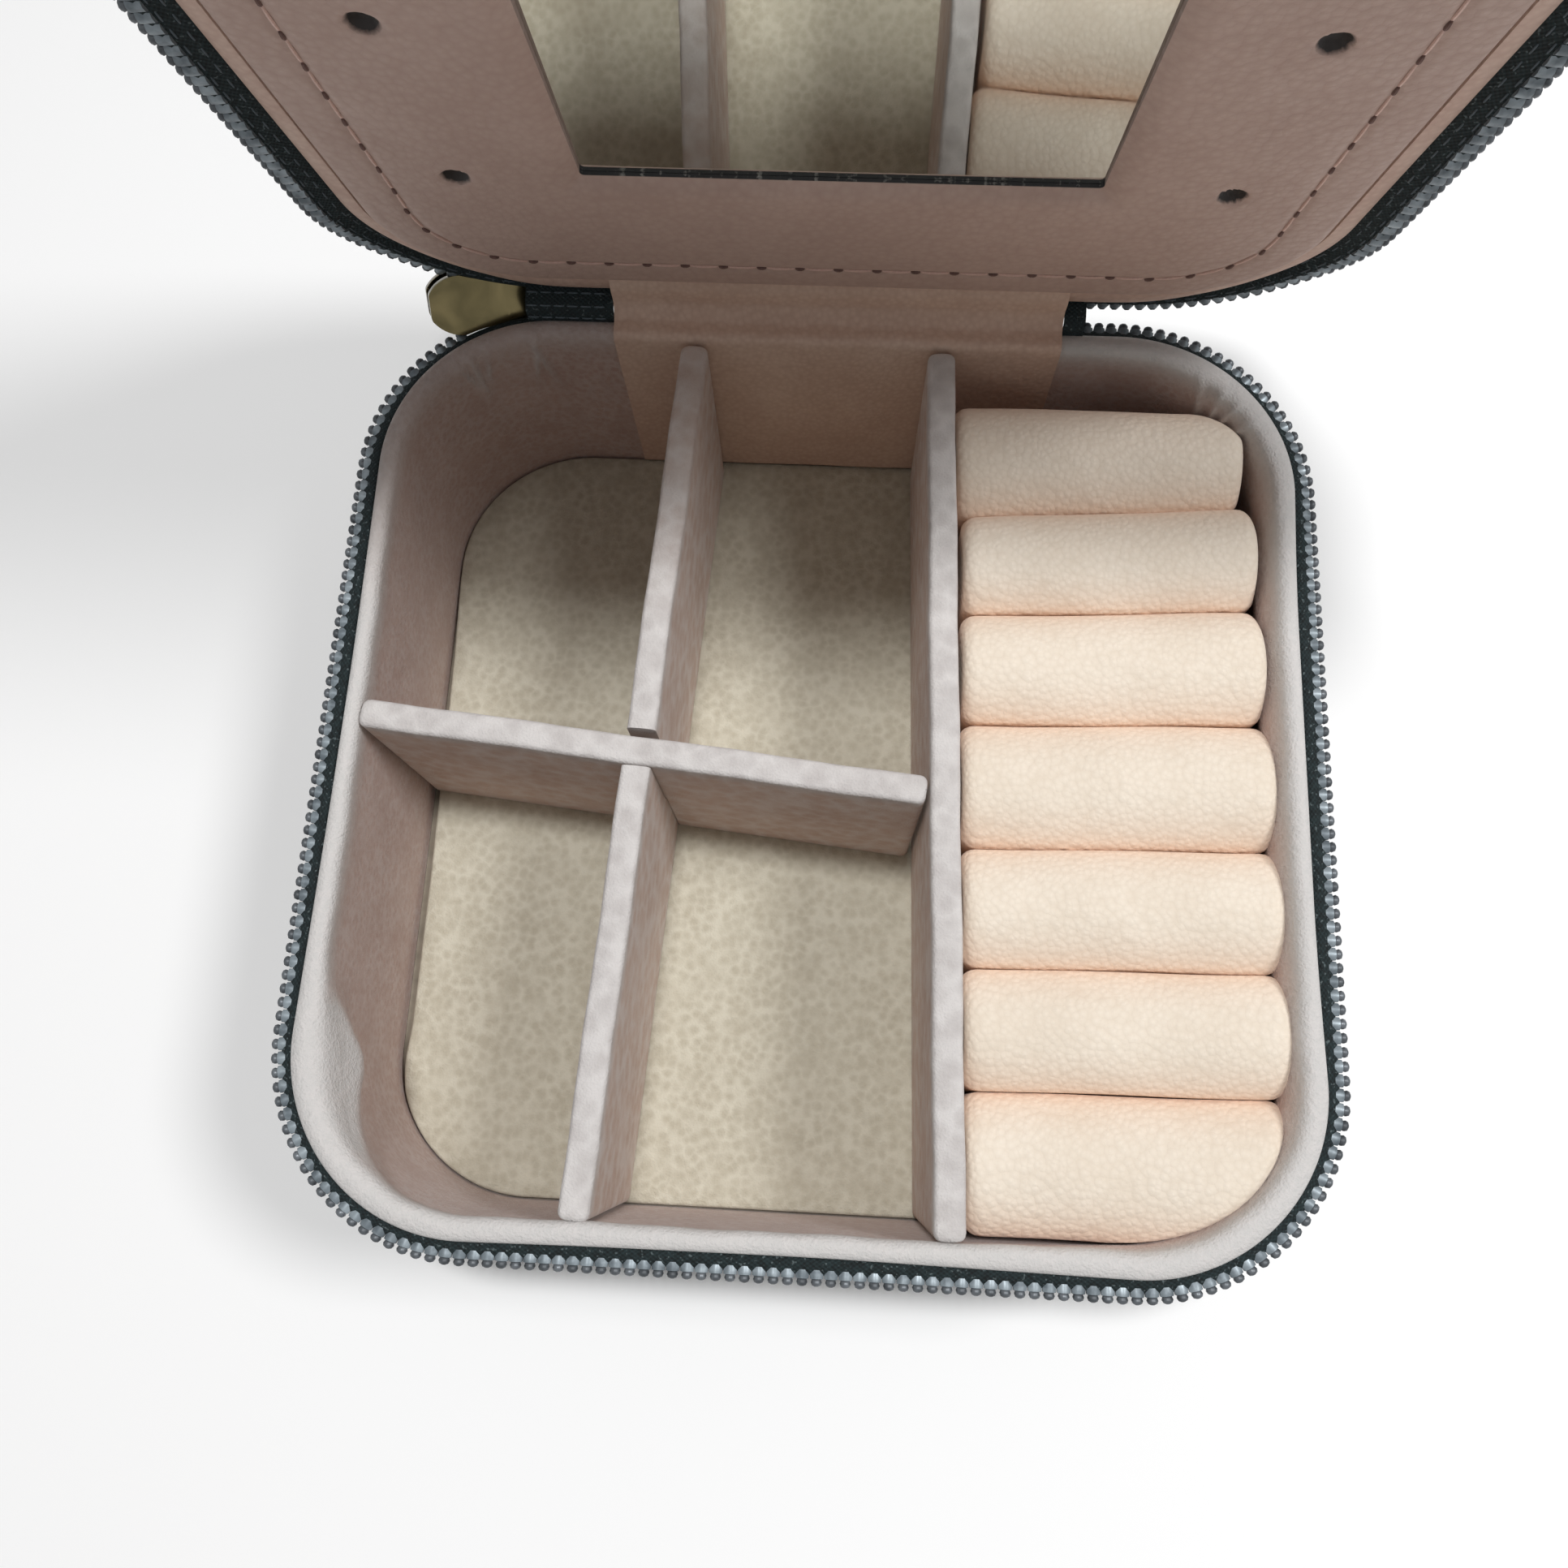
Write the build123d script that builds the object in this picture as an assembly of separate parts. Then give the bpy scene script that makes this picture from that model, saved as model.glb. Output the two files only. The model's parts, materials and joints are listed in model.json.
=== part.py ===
from build123d import *
import math
import os

# Zipped travel jewelry box, in millimetres.
# The origin is the centre of the base's underside, +Z is up and +Y is the hinge side.
# Offsets are measured from the outer face of the leather wall, and negative ones lie inside it.

# Case outline and heights
case_width = 97.8
case_depth = 96.4
corner_radius = 18.9
base_height = 30.0
lid_height = 20.0
lid_open_angle = 76.0

# Hinge line: the axis lies just inside the back wall, level with the parting plane
hinge_inset = 0.1

# Layers of the wall, from the leather inwards
leather = 0.8
leather_edge_radius = 3.0
wall_board = 0.6
base_lining = 1.6
lid_lining = 2.9
layer_gap = 0.05
board = 1.2
floor_pad = 1.5
lining_bevel = 0.5

# Rims, measured from the parting plane
leather_setback = 3.4
base_rim_setback = 0.6
lid_rim_setback = 0.6
wall_board_setback = 8.0

# Zip: tape sewn in behind the leather edge, teeth lying outwards from the tape
tape = 0.5
tape_hem_setback = 7.7
chain_setback = 2.1
tooth_root_offset = -0.7
tooth_length = 1.8
tooth_height = 1.1
tooth_pitch = 1.28
tooth_root_width = 0.44
tooth_head_width = 0.84
tape_end_angle = 104.0
teeth_end_angle = 126.0

# Dividers, given by the middle of each end
divider = 2.9
divider_round = 0.6
divider_top_setback = 0.5
divider_foot_gap = 0.1
divider_end_gap = 0.35
lap_gap = 0.2
long_front_x = -20.0
long_back_x = -15.1
ring_front_x = 13.7
ring_back_x = 11.2
cross_left_y = 1.9
cross_right_y = -3.7

# Ring rolls
roll_count = 7
roll_back_room = 5.0
roll_gap = 0.2
roll_top_setback = 1.7
roll_wall_gap = 0.35
roll_end_bevel = 1.2

# Lid panel, mirror and stud holes
panel = 1.2
panel_setback = 0.8
panel_edge_gap = 0.2
window = 45.2
mirror_size = 50.0
mirror = 1.5
mirror_gap = 0.2
mirror_border = 5.8
stud_hole = 2.4
stud_column_x = 33.3
stud_row_pitch = 21.7
stud_rows = 3

# Hinge strip inside, leather spine outside, and the joined ends of the zip
strip_width = 47.6
strip = 0.5
strip_gap = 0.1
strip_bend = 0.8
strip_tuck = 2.6
spine_width = 48.0
spine = 0.8
spine_lap = 3.0
zip_joint_gap = 0.1
zip_joint_bend = 2.5
zip_right_width = 2.2
zip_left_past_corner = 3.3

# Slider: two plates joined by a wedge, with a bail for the pull
slider_past_corner = 8.8
slider_out = 0.8
slider_drop = 0.5
slider_length = 10.8
slider_mouth = 6.2
slider_tail = 4.0
slider_nose = 2.6
slider_shoulder = 3.4
slider_lobe_sag = 0.5
slider_flank_sag = 0.3
slider_plate = 0.8
slider_slot = 1.4
slider_corner = 0.8
slider_lip = 0.5
slider_lip_drop = 0.35
wedge_length = 3.0
wedge_width = 1.8
bail_length = 4.4
bail_width = 1.4
bail_bar = 0.8
bail_foot = 0.4
pin = 1.0
pin_clearance = 0.2
pull_length = 18.0
pull_width = 5.4
pull_neck = 3.8
pull_thickness = 1.1
pull_arm_gap = 0.35
pull_slot = 3.2
pull_round = 1.6

# Heights and places worked out from the sizes above
parting_z = base_height
case_top = base_height + lid_height
half_width = case_width / 2
half_depth = case_depth / 2
hinge_y = half_depth - hinge_inset
arc_x = half_width - corner_radius
arc_y = half_depth - corner_radius
lining_out = -(leather + wall_board)
base_lining_in = lining_out - base_lining
lid_lining_in = lining_out - lid_lining
bottom_board_top = leather + board
floor_top = bottom_board_top + floor_pad
divider_foot = floor_top + divider_foot_gap
divider_top = parting_z - divider_top_setback
base_rim_z = parting_z - base_rim_setback
lid_rim_z = parting_z + lid_rim_setback
chain_z = parting_z - chain_setback
inner_back_y = half_depth + base_lining_in
roll_front_y = -inner_back_y + roll_wall_gap
roll_pitch = (inner_back_y - roll_wall_gap - roll_back_room - roll_front_y) / roll_count
strip_face_y = inner_back_y - strip_gap - strip
half_turn = math.tan(math.radians(lid_open_angle / 2))
strip_side = strip_width / 2 + zip_joint_gap
zip_right_end_x = strip_side + zip_right_width
zip_start_x = zip_right_end_x + zip_joint_gap
zip_left_end_x = -(arc_x + zip_left_past_corner)
slider_x = -(arc_x + slider_past_corner)
slider_y = hinge_y + slider_out
slider_z = parting_z - slider_drop


def outline(offset):
    """The case's rounded outline, grown outwards by the offset."""
    return RectangleRounded(case_width + 2 * offset, case_depth + 2 * offset, corner_radius + offset)


def slab(offset, z_low, z_high):
    """A flat sheet with the case's outline."""
    return extrude(Pos(0, 0, z_low) * outline(offset), z_high - z_low)


def wall_ring(outer, inner, z_low, z_high):
    """An upright wall that follows the case's outline between two offsets."""
    return slab(outer, z_low, z_high) - slab(inner, z_low, z_high)


def opened(solid):
    """A lid piece, drawn shut, turned about the hinge line to where the lid stands open."""
    return solid.rotate(Axis((0, hinge_y, parting_z), (1, 0, 0)), -lid_open_angle)


def shut_about_parting(solid):
    """A base piece's mirror image in the parting plane, for the same piece on the lid."""
    return solid.mirror(Plane.XY.offset(parting_z))


def save(name, solid):
    solid.label = name
    export_step(solid, f"parts/{name}.step")


# Leather cup of the base or the lid, drawn as the base

def rolled_block(offset, z_low, z_high, radius):
    """A block with the case's outline, whose lower edge rolls over in two steps along a quarter circle."""
    middle = radius * (1 - math.sqrt(0.5))
    steps = [(offset - radius, z_low), (offset - middle, z_low + middle), (offset, z_low + radius)]
    foot = loft([Pos(0, 0, z) * outline(inset) for inset, z in steps], ruled=True)
    return foot + slab(offset, z_low + radius, z_high)


def leather_cup(height):
    outside = rolled_block(0, 0, height, leather_edge_radius)
    return outside - rolled_block(-leather, leather, height, leather_edge_radius - leather)


def standing_lid(solid):
    """A lid piece drawn upside down on the ground plane, turned over to the top of the case."""
    return solid.mirror(Plane.XY).moved(Pos(0, 0, case_top))


# Zip tape and teeth along the rim

def zip_path(end_angle):
    """The leather outline from beside the strip, by the front, to an angle of the last corner."""
    turn = math.radians(end_angle)
    end = (-arc_x + corner_radius * math.cos(turn), arc_y + corner_radius * math.sin(turn))
    first_turn = 90 - math.degrees(math.asin(max(0.0, zip_start_x - arc_x) / corner_radius))
    runs = [
        CenterArc((arc_x, arc_y), corner_radius, first_turn, -first_turn),
        Line((half_width, arc_y), (half_width, -arc_y)),
        CenterArc((arc_x, -arc_y), corner_radius, 0, -90),
        Line((arc_x, -half_depth), (-arc_x, -half_depth)),
        CenterArc((-arc_x, -arc_y), corner_radius, 270, -90),
        Line((-half_width, -arc_y), (-half_width, arc_y)),
        RadiusArc((-half_width, arc_y), end, corner_radius),
    ]
    if zip_start_x < arc_x:
        runs.insert(0, Line((zip_start_x, half_depth), (arc_x, half_depth)))
    return Wire([run.edge() for run in runs])


def zip_place(path, share):
    """A plane on the zip's path, with X outwards from the case and Z up."""
    along = path.tangent_at(share)
    return Plane(origin=path.position_at(share), x_dir=(-along.Y, along.X, 0), z_dir=(0, 0, 1))


def zip_tape(path):
    """An L-shaped tape: the hem stands behind the leather, the edge turns out to the teeth."""
    hem_out = -leather - layer_gap
    hem_in = hem_out - tape
    hem_low = parting_z - tape_hem_setback
    edge_low = chain_z - tape / 2
    edge_high = chain_z + tape / 2
    section = [
        (hem_in, hem_low),
        (hem_out, hem_low),
        (hem_out, edge_low),
        (tooth_root_offset, edge_low),
        (tooth_root_offset, edge_high),
        (hem_in, edge_high),
    ]
    start = zip_place(path, 0)
    section_plane = Plane(origin=start.origin, x_dir=start.x_dir, z_dir=path.tangent_at(0))
    return sweep(section_plane * make_face(Polyline(*section, close=True)), path=path)


def zip_tooth():
    """One tooth: a narrow root that widens to the head, drawn along +X."""
    tip = tooth_root_offset + tooth_length
    shape = [
        (tooth_root_offset, -tooth_root_width / 2),
        (tip, -tooth_head_width / 2),
        (tip, tooth_head_width / 2),
        (tooth_root_offset, tooth_root_width / 2),
    ]
    face = make_face(Polyline(*shape, close=True))
    return extrude(Pos(0, 0, chain_z - tooth_height / 2) * face, tooth_height)


def zip_teeth(path):
    """Copies of the tooth, one pitch apart, each square to the zip's path."""
    tooth = zip_tooth().solid()
    count = int(path.length / tooth_pitch)
    copies = []
    for index in range(count):
        share = (index + 0.5) * tooth_pitch / path.length
        copies.append(tooth.moved(zip_place(path, share).location))
    return copies


# Upright boards

def upright_board(start, end, thickness, z_low, z_high, left=0.0, longer=0.0):
    """A board on edge between two points of the floor plan, moved to the left of that line."""
    run = Vector(*end) - Vector(*start)
    middle = (Vector(*start) + Vector(*end)) / 2
    place = Pos(middle.X, middle.Y, z_low) * Rot(0, 0, math.degrees(math.atan2(run.Y, run.X)))
    block = Box(run.length + longer, thickness, z_high - z_low, align=(Align.CENTER, Align.CENTER, Align.MIN))
    return place * Pos(0, left, 0) * block


def divider_board(start, end):
    """A covered divider with its top edges rounded."""
    wall = upright_board(start, end, divider, divider_foot, divider_top)
    top_edges = wall.edges().group_by(Axis.Z)[-1]
    return fillet(top_edges.sort_by(SortBy.LENGTH)[-2:], divider_round)


# Ring rolls

def ring_roll(index, bay):
    """A foam roll with an arched top and soft ends, cut to the bay between divider and wall."""
    width = roll_pitch - roll_gap
    foot = floor_top + divider_foot_gap
    crown = parting_z - roll_top_setback - width / 2
    middle_y = roll_front_y + (roll_count - index + 0.5) * roll_pitch
    arch = Pos(0, (foot + crown) / 2) * Rectangle(width, crown - foot) + Pos(0, crown) * Circle(width / 2)
    bay_box = bay.bounding_box()
    length = bay_box.max.X - bay_box.min.X
    end_plane = Plane(origin=(bay_box.min.X, middle_y, 0), x_dir=(0, 1, 0), z_dir=(1, 0, 0))
    return extrude(end_plane * arch, length) & bay


os.makedirs("parts", exist_ok=True)

# Base shell: leather cup, bottom board, wall board, velvet wall and floor pad
save("base_leather_shell", leather_cup(parting_z - leather_setback))
save("base_bottom_board", slab(-leather_edge_radius - layer_gap, leather, bottom_board_top))
board_low = leather_edge_radius + layer_gap
board_high = parting_z - wall_board_setback
save("base_wall_board", wall_ring(-leather, lining_out, board_low, board_high))
lining = wall_ring(lining_out, base_lining_in, bottom_board_top, base_rim_z)
lining = chamfer(lining.edges().group_by(Axis.Z)[-1], lining_bevel)
save("base_wall_lining", lining)
save("base_floor_pad", slab(base_lining_in - panel_edge_gap, bottom_board_top, floor_top))

# Dividers: the ring divider is glued in, the long and the cross divider halve into each other
front_end_y = -inner_back_y + divider_end_gap
back_end_y = strip_face_y - divider_end_gap
left_end_x = -(half_width + base_lining_in) + divider_end_gap
ring_ends = ((ring_front_x, front_end_y), (ring_back_x, back_end_y))
ring_share = (cross_right_y - front_end_y) / (back_end_y - front_end_y)
ring_middle_x = ring_front_x + ring_share * (ring_back_x - ring_front_x)
right_end_x = ring_middle_x - divider / 2 - divider_end_gap
long_ends = ((long_front_x, front_end_y), (long_back_x, back_end_y))
cross_ends = ((left_end_x, cross_left_y), (right_end_x, cross_right_y))
lap_z = (divider_foot + divider_top) / 2
lap_slot = divider + 2 * lap_gap
long_slot = upright_board(*cross_ends, lap_slot, lap_z - lap_gap, parting_z)
cross_slot = upright_board(*long_ends, lap_slot, floor_top, lap_z)
save("ring_divider", divider_board(*ring_ends))
save("long_divider", divider_board(*long_ends) - long_slot)
save("cross_divider", divider_board(*cross_ends) - cross_slot)

# Ring rolls, counted from the back
bay_wall = slab(base_lining_in - roll_wall_gap, floor_top, parting_z - roll_top_setback)
bay_wall = chamfer(bay_wall.edges().group_by(Axis.Z)[-1], roll_end_bevel)
bay_left = (case_width - divider) / 2 - roll_wall_gap
bay_cut = upright_board(*ring_ends, case_width, 0, parting_z, left=bay_left, longer=case_depth)
roll_bay = bay_wall - bay_cut
for number in range(1, roll_count + 1):
    save(f"ring_roll_{number}", ring_roll(number, roll_bay))

# Zip halves: the lid's half mirrors the base's in the parting plane
base_tape = zip_tape(zip_path(tape_end_angle))
base_teeth = zip_teeth(zip_path(teeth_end_angle))
save("base_zip_tape", base_tape)
save("base_zip_teeth", Compound(base_teeth))
save("lid_zip_tape", opened(shut_about_parting(base_tape)))
save("lid_zip_teeth", Compound([opened(shut_about_parting(tooth)) for tooth in base_teeth]))

# Lid shell: leather cup, top board, wall board and wall lining
save("lid_leather_shell", opened(standing_lid(leather_cup(lid_height - leather_setback))))
top_board = slab(-leather_edge_radius - layer_gap, leather, bottom_board_top)
save("lid_top_board", opened(standing_lid(top_board)))
lid_board = wall_ring(-leather, lining_out, board_low, lid_height - wall_board_setback)
save("lid_wall_board", opened(standing_lid(lid_board)))
lid_wall = wall_ring(lining_out, lid_lining_in, lid_rim_z, case_top - bottom_board_top)
lid_wall = chamfer(lid_wall.edges().group_by(Axis.Z)[0], lining_bevel)
save("lid_wall_lining", opened(lid_wall))

# Lid panel with its mirror window and stud holes, the mirror, its card frame and the back board
panel_offset = lid_lining_in - panel_edge_gap
panel_z = parting_z + panel_setback
mirror_z = panel_z + panel
backing_size = mirror_size + 2 * (mirror_gap + mirror_border)
back_board_z = mirror_z + mirror
stud_span = stud_row_pitch * (stud_rows - 1)
stud_drills = Compound(children=[
    Pos(side * stud_column_x, stud_row_pitch * row - stud_span / 2, panel_z) * Cylinder(
        stud_hole / 2, panel, align=(Align.CENTER, Align.CENTER, Align.MIN))
    for side in (-1, 1)
    for row in range(stud_rows)
])


def square_sheet(width, z_low, thickness):
    """A square sheet in the middle of the lid."""
    return Pos(0, 0, z_low) * Box(width, width, thickness, align=(Align.CENTER, Align.CENTER, Align.MIN))


window_cut = square_sheet(window, panel_z, panel)
mirror_seat = square_sheet(mirror_size + 2 * mirror_gap, mirror_z, mirror)
save("lid_panel", opened(slab(panel_offset, panel_z, mirror_z) - window_cut - stud_drills))
save("mirror", opened(square_sheet(mirror_size, mirror_z, mirror)))
save("mirror_frame_board", opened(square_sheet(backing_size, mirror_z, mirror) - mirror_seat))
save("panel_back_board", opened(square_sheet(backing_size, back_board_z, board)))


# Sheets that bend at the hinge, drawn as the lid stands open

def shut_point(y, z):
    """Where a point of the shut lid's middle section lies once the lid stands open."""
    turn = math.radians(lid_open_angle)
    across = y - hinge_y
    up = z - parting_z
    return (
        hinge_y + across * math.cos(turn) + up * math.sin(turn),
        parting_z - across * math.sin(turn) + up * math.cos(turn),
    )


def fold_corner(y):
    """The corner where a sheet at this depth on the base meets the same sheet on the open lid."""
    return (y, parting_z - (y - hinge_y) * half_turn)


def bent_sheet(points, bend, thickness, x_low, x_high):
    """A sheet of even thickness along a bent line of the case's middle section."""
    line = FilletPolyline(*points, radius=bend)
    section = trace(line, thickness)
    return extrude(Plane(origin=(x_low, 0, 0), x_dir=(0, 1, 0), z_dir=(1, 0, 0)) * section, x_high - x_low)


strip_y = strip_face_y + strip / 2
strip_over_rim = base_rim_z + strip_gap + strip / 2
strip_under_lid = lid_rim_z - strip_gap - strip / 2
strip_points = [
    (strip_y, divider_foot),
    (strip_y, strip_over_rim),
    (half_depth + lining_out, strip_over_rim),
    shut_point(half_depth + lining_out, strip_under_lid),
    shut_point(half_depth + lining_out - strip_tuck, strip_under_lid),
]
save("hinge_lining_strip", bent_sheet(strip_points, strip_bend, strip, -strip_width / 2, strip_width / 2))

spine_y = half_depth + layer_gap + spine / 2
spine_bend = leather_setback / half_turn - (spine_y - hinge_y)
spine_points = [
    (spine_y, parting_z - leather_setback - spine_lap),
    fold_corner(spine_y),
    shut_point(spine_y, parting_z + leather_setback + spine_lap),
]
save("hinge_spine", bent_sheet(spine_points, spine_bend, spine, -spine_width / 2, spine_width / 2))

joint_y = half_depth + lining_out + layer_gap + tape / 2
joint_reach = leather_setback - zip_joint_gap
joint_points = [
    (joint_y, parting_z - joint_reach),
    fold_corner(joint_y),
    shut_point(joint_y, parting_z + joint_reach),
]
save("zip_end_left", bent_sheet(joint_points, zip_joint_bend, tape, zip_left_end_x, -strip_side))
save("zip_end_right", bent_sheet(joint_points, zip_joint_bend, tape, strip_side, zip_right_end_x))


# Slider and pull, drawn on the slider's own plane: X towards the tail, Z outwards from the case.
# The plane halves the angle between base and lid and follows the rounded corner's tangent.

facing = math.radians(lid_open_angle / 2)
outward = Vector(0, math.cos(facing), -math.sin(facing))
across = Vector(0, math.sin(facing), math.cos(facing))
corner_turn = math.asin((-arc_x - slider_x) / corner_radius)
along = Vector(1, 0, 0) + outward * (math.tan(corner_turn) * math.cos(facing))
slider_plane = Plane(origin=(slider_x, slider_y, slider_z), x_dir=along, z_dir=across.cross(along))
plate_face = slider_slot / 2
plate_top = plate_face + slider_plate


def slider_outline():
    """The shield outline of both plates: round lobes at the mouth, hollow flanks, and a square tail."""
    half = slider_length / 2
    nose = (-half, slider_nose / 2)
    shoulder = (-half + slider_shoulder, slider_mouth / 2)
    tail = (half, slider_tail / 2)
    upper = [
        SagittaArc(nose, shoulder, slider_lobe_sag),
        SagittaArc(shoulder, tail, -slider_flank_sag),
    ]
    lower = [side.mirror(Plane.XZ) for side in upper]
    ends = [Line(nose, (nose[0], -nose[1])), Line(tail, (tail[0], -tail[1]))]
    face = make_face(upper + lower + ends)
    return fillet(face.vertices(), slider_corner)


def slider_body():
    """Two plates with turned-in lips, joined by the wedge, and the bail on the outer plate."""
    plate = slider_outline()
    lip = (plate - Pos(0, -slider_lip) * plate) + (plate - Pos(0, slider_lip) * plate)
    lip -= Pos(-slider_length / 2, 0) * Rectangle(2 * slider_shoulder, 2 * slider_mouth)
    lip -= Pos(slider_length / 2, 0) * Rectangle(2 * slider_lip + slider_corner, 2 * slider_mouth)
    inner = extrude(Pos(0, 0, -plate_top) * plate, slider_plate)
    outer = extrude(Pos(0, 0, plate_face) * plate, slider_plate)
    inner_lip = extrude(Pos(0, 0, -plate_face) * lip, slider_lip_drop)
    outer_lip = extrude(Pos(0, 0, plate_face - slider_lip_drop) * lip, slider_lip_drop)
    wedge_x = -slider_length / 2 + slider_corner
    wedge_face = make_face(Polyline(
        (wedge_x, -wedge_width / 2),
        (wedge_x + wedge_length, 0),
        (wedge_x, wedge_width / 2),
        close=True,
    ))
    wedge = extrude(Pos(0, 0, -plate_face) * wedge_face, slider_slot)
    opening_low = plate_top + bail_foot
    opening_height = pin + 2 * pin_clearance
    bail_height = bail_foot + opening_height + bail_bar
    bail = Pos(0, 0, plate_top) * Box(
        bail_length, bail_width, bail_height, align=(Align.CENTER, Align.CENTER, Align.MIN))
    opening = Pos(0, 0, opening_low) * Box(
        bail_length - 2 * bail_bar, bail_width, opening_height, align=(Align.CENTER, Align.CENTER, Align.MIN))
    return inner + outer + inner_lip + outer_lip + wedge + (bail - opening)


def pull_tab(pull_plane):
    """The pull: a pin through the bail, two arms beside it, and a rounded tab that hangs down."""
    arm = bail_width / 2 + pull_arm_gap
    neck = Pos(0, pull_slot / 2) * Rectangle(pull_neck, pull_slot)
    leaf = Pos(0, (pull_slot + pull_length) / 2) * RectangleRounded(
        pull_width, pull_length - pull_slot, pull_round)
    root = Pos(0, pull_slot + pull_round / 2) * Rectangle(pull_neck, pull_round)
    slot = Pos(0, pull_slot / 2) * Rectangle(2 * arm, pull_slot)
    flat = neck + leaf + root - slot
    tab = extrude(Pos(0, 0, -pull_thickness / 2) * flat, pull_thickness)
    bar = Rot(0, 90, 0) * Cylinder(pin / 2, pull_neck)
    return pull_plane.location * (tab + bar)


save("slider_body", slider_plane.location * slider_body())
pin_z = plate_top + bail_foot + pin_clearance + pin / 2
pin_centre = slider_plane.from_local_coords(Vector(0, 0, pin_z))
pin_axis = slider_plane.y_dir
down = Vector(0, 0, -1)
hang = (down - pin_axis * down.dot(pin_axis)).normalized()
save("slider_pull", pull_tab(Plane(origin=pin_centre, x_dir=pin_axis, z_dir=pin_axis.cross(hang))))
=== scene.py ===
import json
import math

import bpy
import numpy as np
from mathutils import Matrix, Vector


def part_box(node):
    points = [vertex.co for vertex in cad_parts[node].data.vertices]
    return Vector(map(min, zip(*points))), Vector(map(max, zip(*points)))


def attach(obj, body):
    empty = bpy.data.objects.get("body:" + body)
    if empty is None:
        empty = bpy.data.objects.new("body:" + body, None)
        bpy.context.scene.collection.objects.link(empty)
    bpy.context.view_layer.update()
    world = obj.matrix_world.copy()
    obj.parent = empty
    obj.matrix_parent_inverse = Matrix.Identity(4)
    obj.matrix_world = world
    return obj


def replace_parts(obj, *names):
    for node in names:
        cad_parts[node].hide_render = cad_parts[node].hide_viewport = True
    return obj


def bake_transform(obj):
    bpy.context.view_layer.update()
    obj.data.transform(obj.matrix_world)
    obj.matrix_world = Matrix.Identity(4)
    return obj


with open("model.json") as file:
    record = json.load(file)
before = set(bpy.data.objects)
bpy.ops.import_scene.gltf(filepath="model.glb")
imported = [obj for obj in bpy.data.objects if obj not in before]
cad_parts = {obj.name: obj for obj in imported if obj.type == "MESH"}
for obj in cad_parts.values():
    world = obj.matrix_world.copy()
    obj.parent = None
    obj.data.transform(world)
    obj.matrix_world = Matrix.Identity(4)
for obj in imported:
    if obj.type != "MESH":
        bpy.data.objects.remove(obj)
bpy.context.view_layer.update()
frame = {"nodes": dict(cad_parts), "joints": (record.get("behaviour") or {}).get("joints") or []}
mm = 0.001


# Outer skin: thin dark leatherette, turned up round the card of the base and of the lid. A row of stitches
# below its edge holds the zip tape. The photo shows only the edge, so the colour follows the zip tape.

skin_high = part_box("base_leather_shell")[1]
half_x, half_y = skin_high.x / mm, skin_high.y / mm
base_skin_height = skin_high.z / mm
corner = 18.9
lid_joint = next(joint for joint in frame["joints"] if joint["name"] == "lid_hinge")
hinge_y, parting = lid_joint["pos_m"][1] / mm, lid_joint["pos_m"][2] / mm
lid_angle = math.radians(-lid_joint["range_deg"][0])
case_top = 50.0
lid_skin_height = case_top - 2 * parting + base_skin_height


def rounded_walk(share, half_x, half_y, corner):
    """Points and outward directions round a rounded rectangle, from the middle of its back by the left, the
    front and the right: straight runs and quarter circles in turn, at given shares of the whole length."""
    run_x, run_y, quarter = half_x - corner, half_y - corner, corner * math.pi / 2
    lengths = np.array([run_x, quarter, 2 * run_y, quarter, 2 * run_x, quarter, 2 * run_y, quarter, run_x])
    ends = np.cumsum(lengths)
    walked = np.mod(share, 1) * ends[-1]
    part = np.minimum(np.searchsorted(ends, walked, side="right"), 8)
    local = walked - (ends - lengths)[part]
    curved = part % 2 == 1
    turn = math.pi / 2 * (1 + part // 2) + np.where(curved, local / corner, 0)
    out = np.stack([np.cos(turn), np.sin(turn)], -1)
    along = np.stack([-out[:, 1], out[:, 0]], -1)
    centre_x = np.array([0, -1, -1, -1, -1, 1, 1, 1, 1])[part] * run_x
    centre_y = np.array([1, 1, 1, -1, -1, -1, -1, 1, 1])[part] * run_y
    centre = np.stack([centre_x, centre_y], -1)
    return centre + corner * out + along * np.where(curved, 0, local)[:, None], out


def wall_points(profile, share):
    """Every point of a profile of outward offsets and heights, at every place of the case's outline."""
    point, out = rounded_walk(share, half_x, half_y, corner)
    profile = np.broadcast_to(profile, (len(share),) + profile.shape[-2:])
    plan = point[:, None] + out[:, None] * profile[..., :1]
    return np.concatenate([plan, profile[..., 1:]], -1)


def opened(points):
    """Points of the shut lid, turned about the hinge line to where the lid stands open."""
    back, up = points[..., 1] - hinge_y, points[..., 2] - parting
    turned_y = hinge_y + back * math.cos(lid_angle) + up * math.sin(lid_angle)
    turned_z = parting - back * math.sin(lid_angle) + up * math.cos(lid_angle)
    return np.stack([points[..., 0], turned_y, turned_z], -1)


def grid_faces(rows, columns, loop_rows=False, loop_columns=False):
    """Quads of a grid of points, joined end to end where the rows or the columns form a loop."""
    number = np.arange(rows * columns).reshape(rows, columns)
    number = np.vstack([number, number[:1]]) if loop_rows else number
    number = np.hstack([number, number[:, :1]]) if loop_columns else number
    quads = np.stack([number[:-1, :-1], number[1:, :-1], number[1:, 1:], number[:-1, 1:]], -1)
    return quads.reshape(-1, 4).tolist()


def cup_faces(rows, columns):
    """Quads of a wall that closes on itself, and a face inside each of its two edges."""
    first = np.arange(rows) * columns
    edges = [first[::-1].tolist(), (first + columns - 1).tolist()]
    return grid_faces(rows, columns, loop_rows=True) + edges


def flipped(faces):
    """The same faces, turned to look the other way."""
    return [face[::-1] for face in faces]


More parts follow.
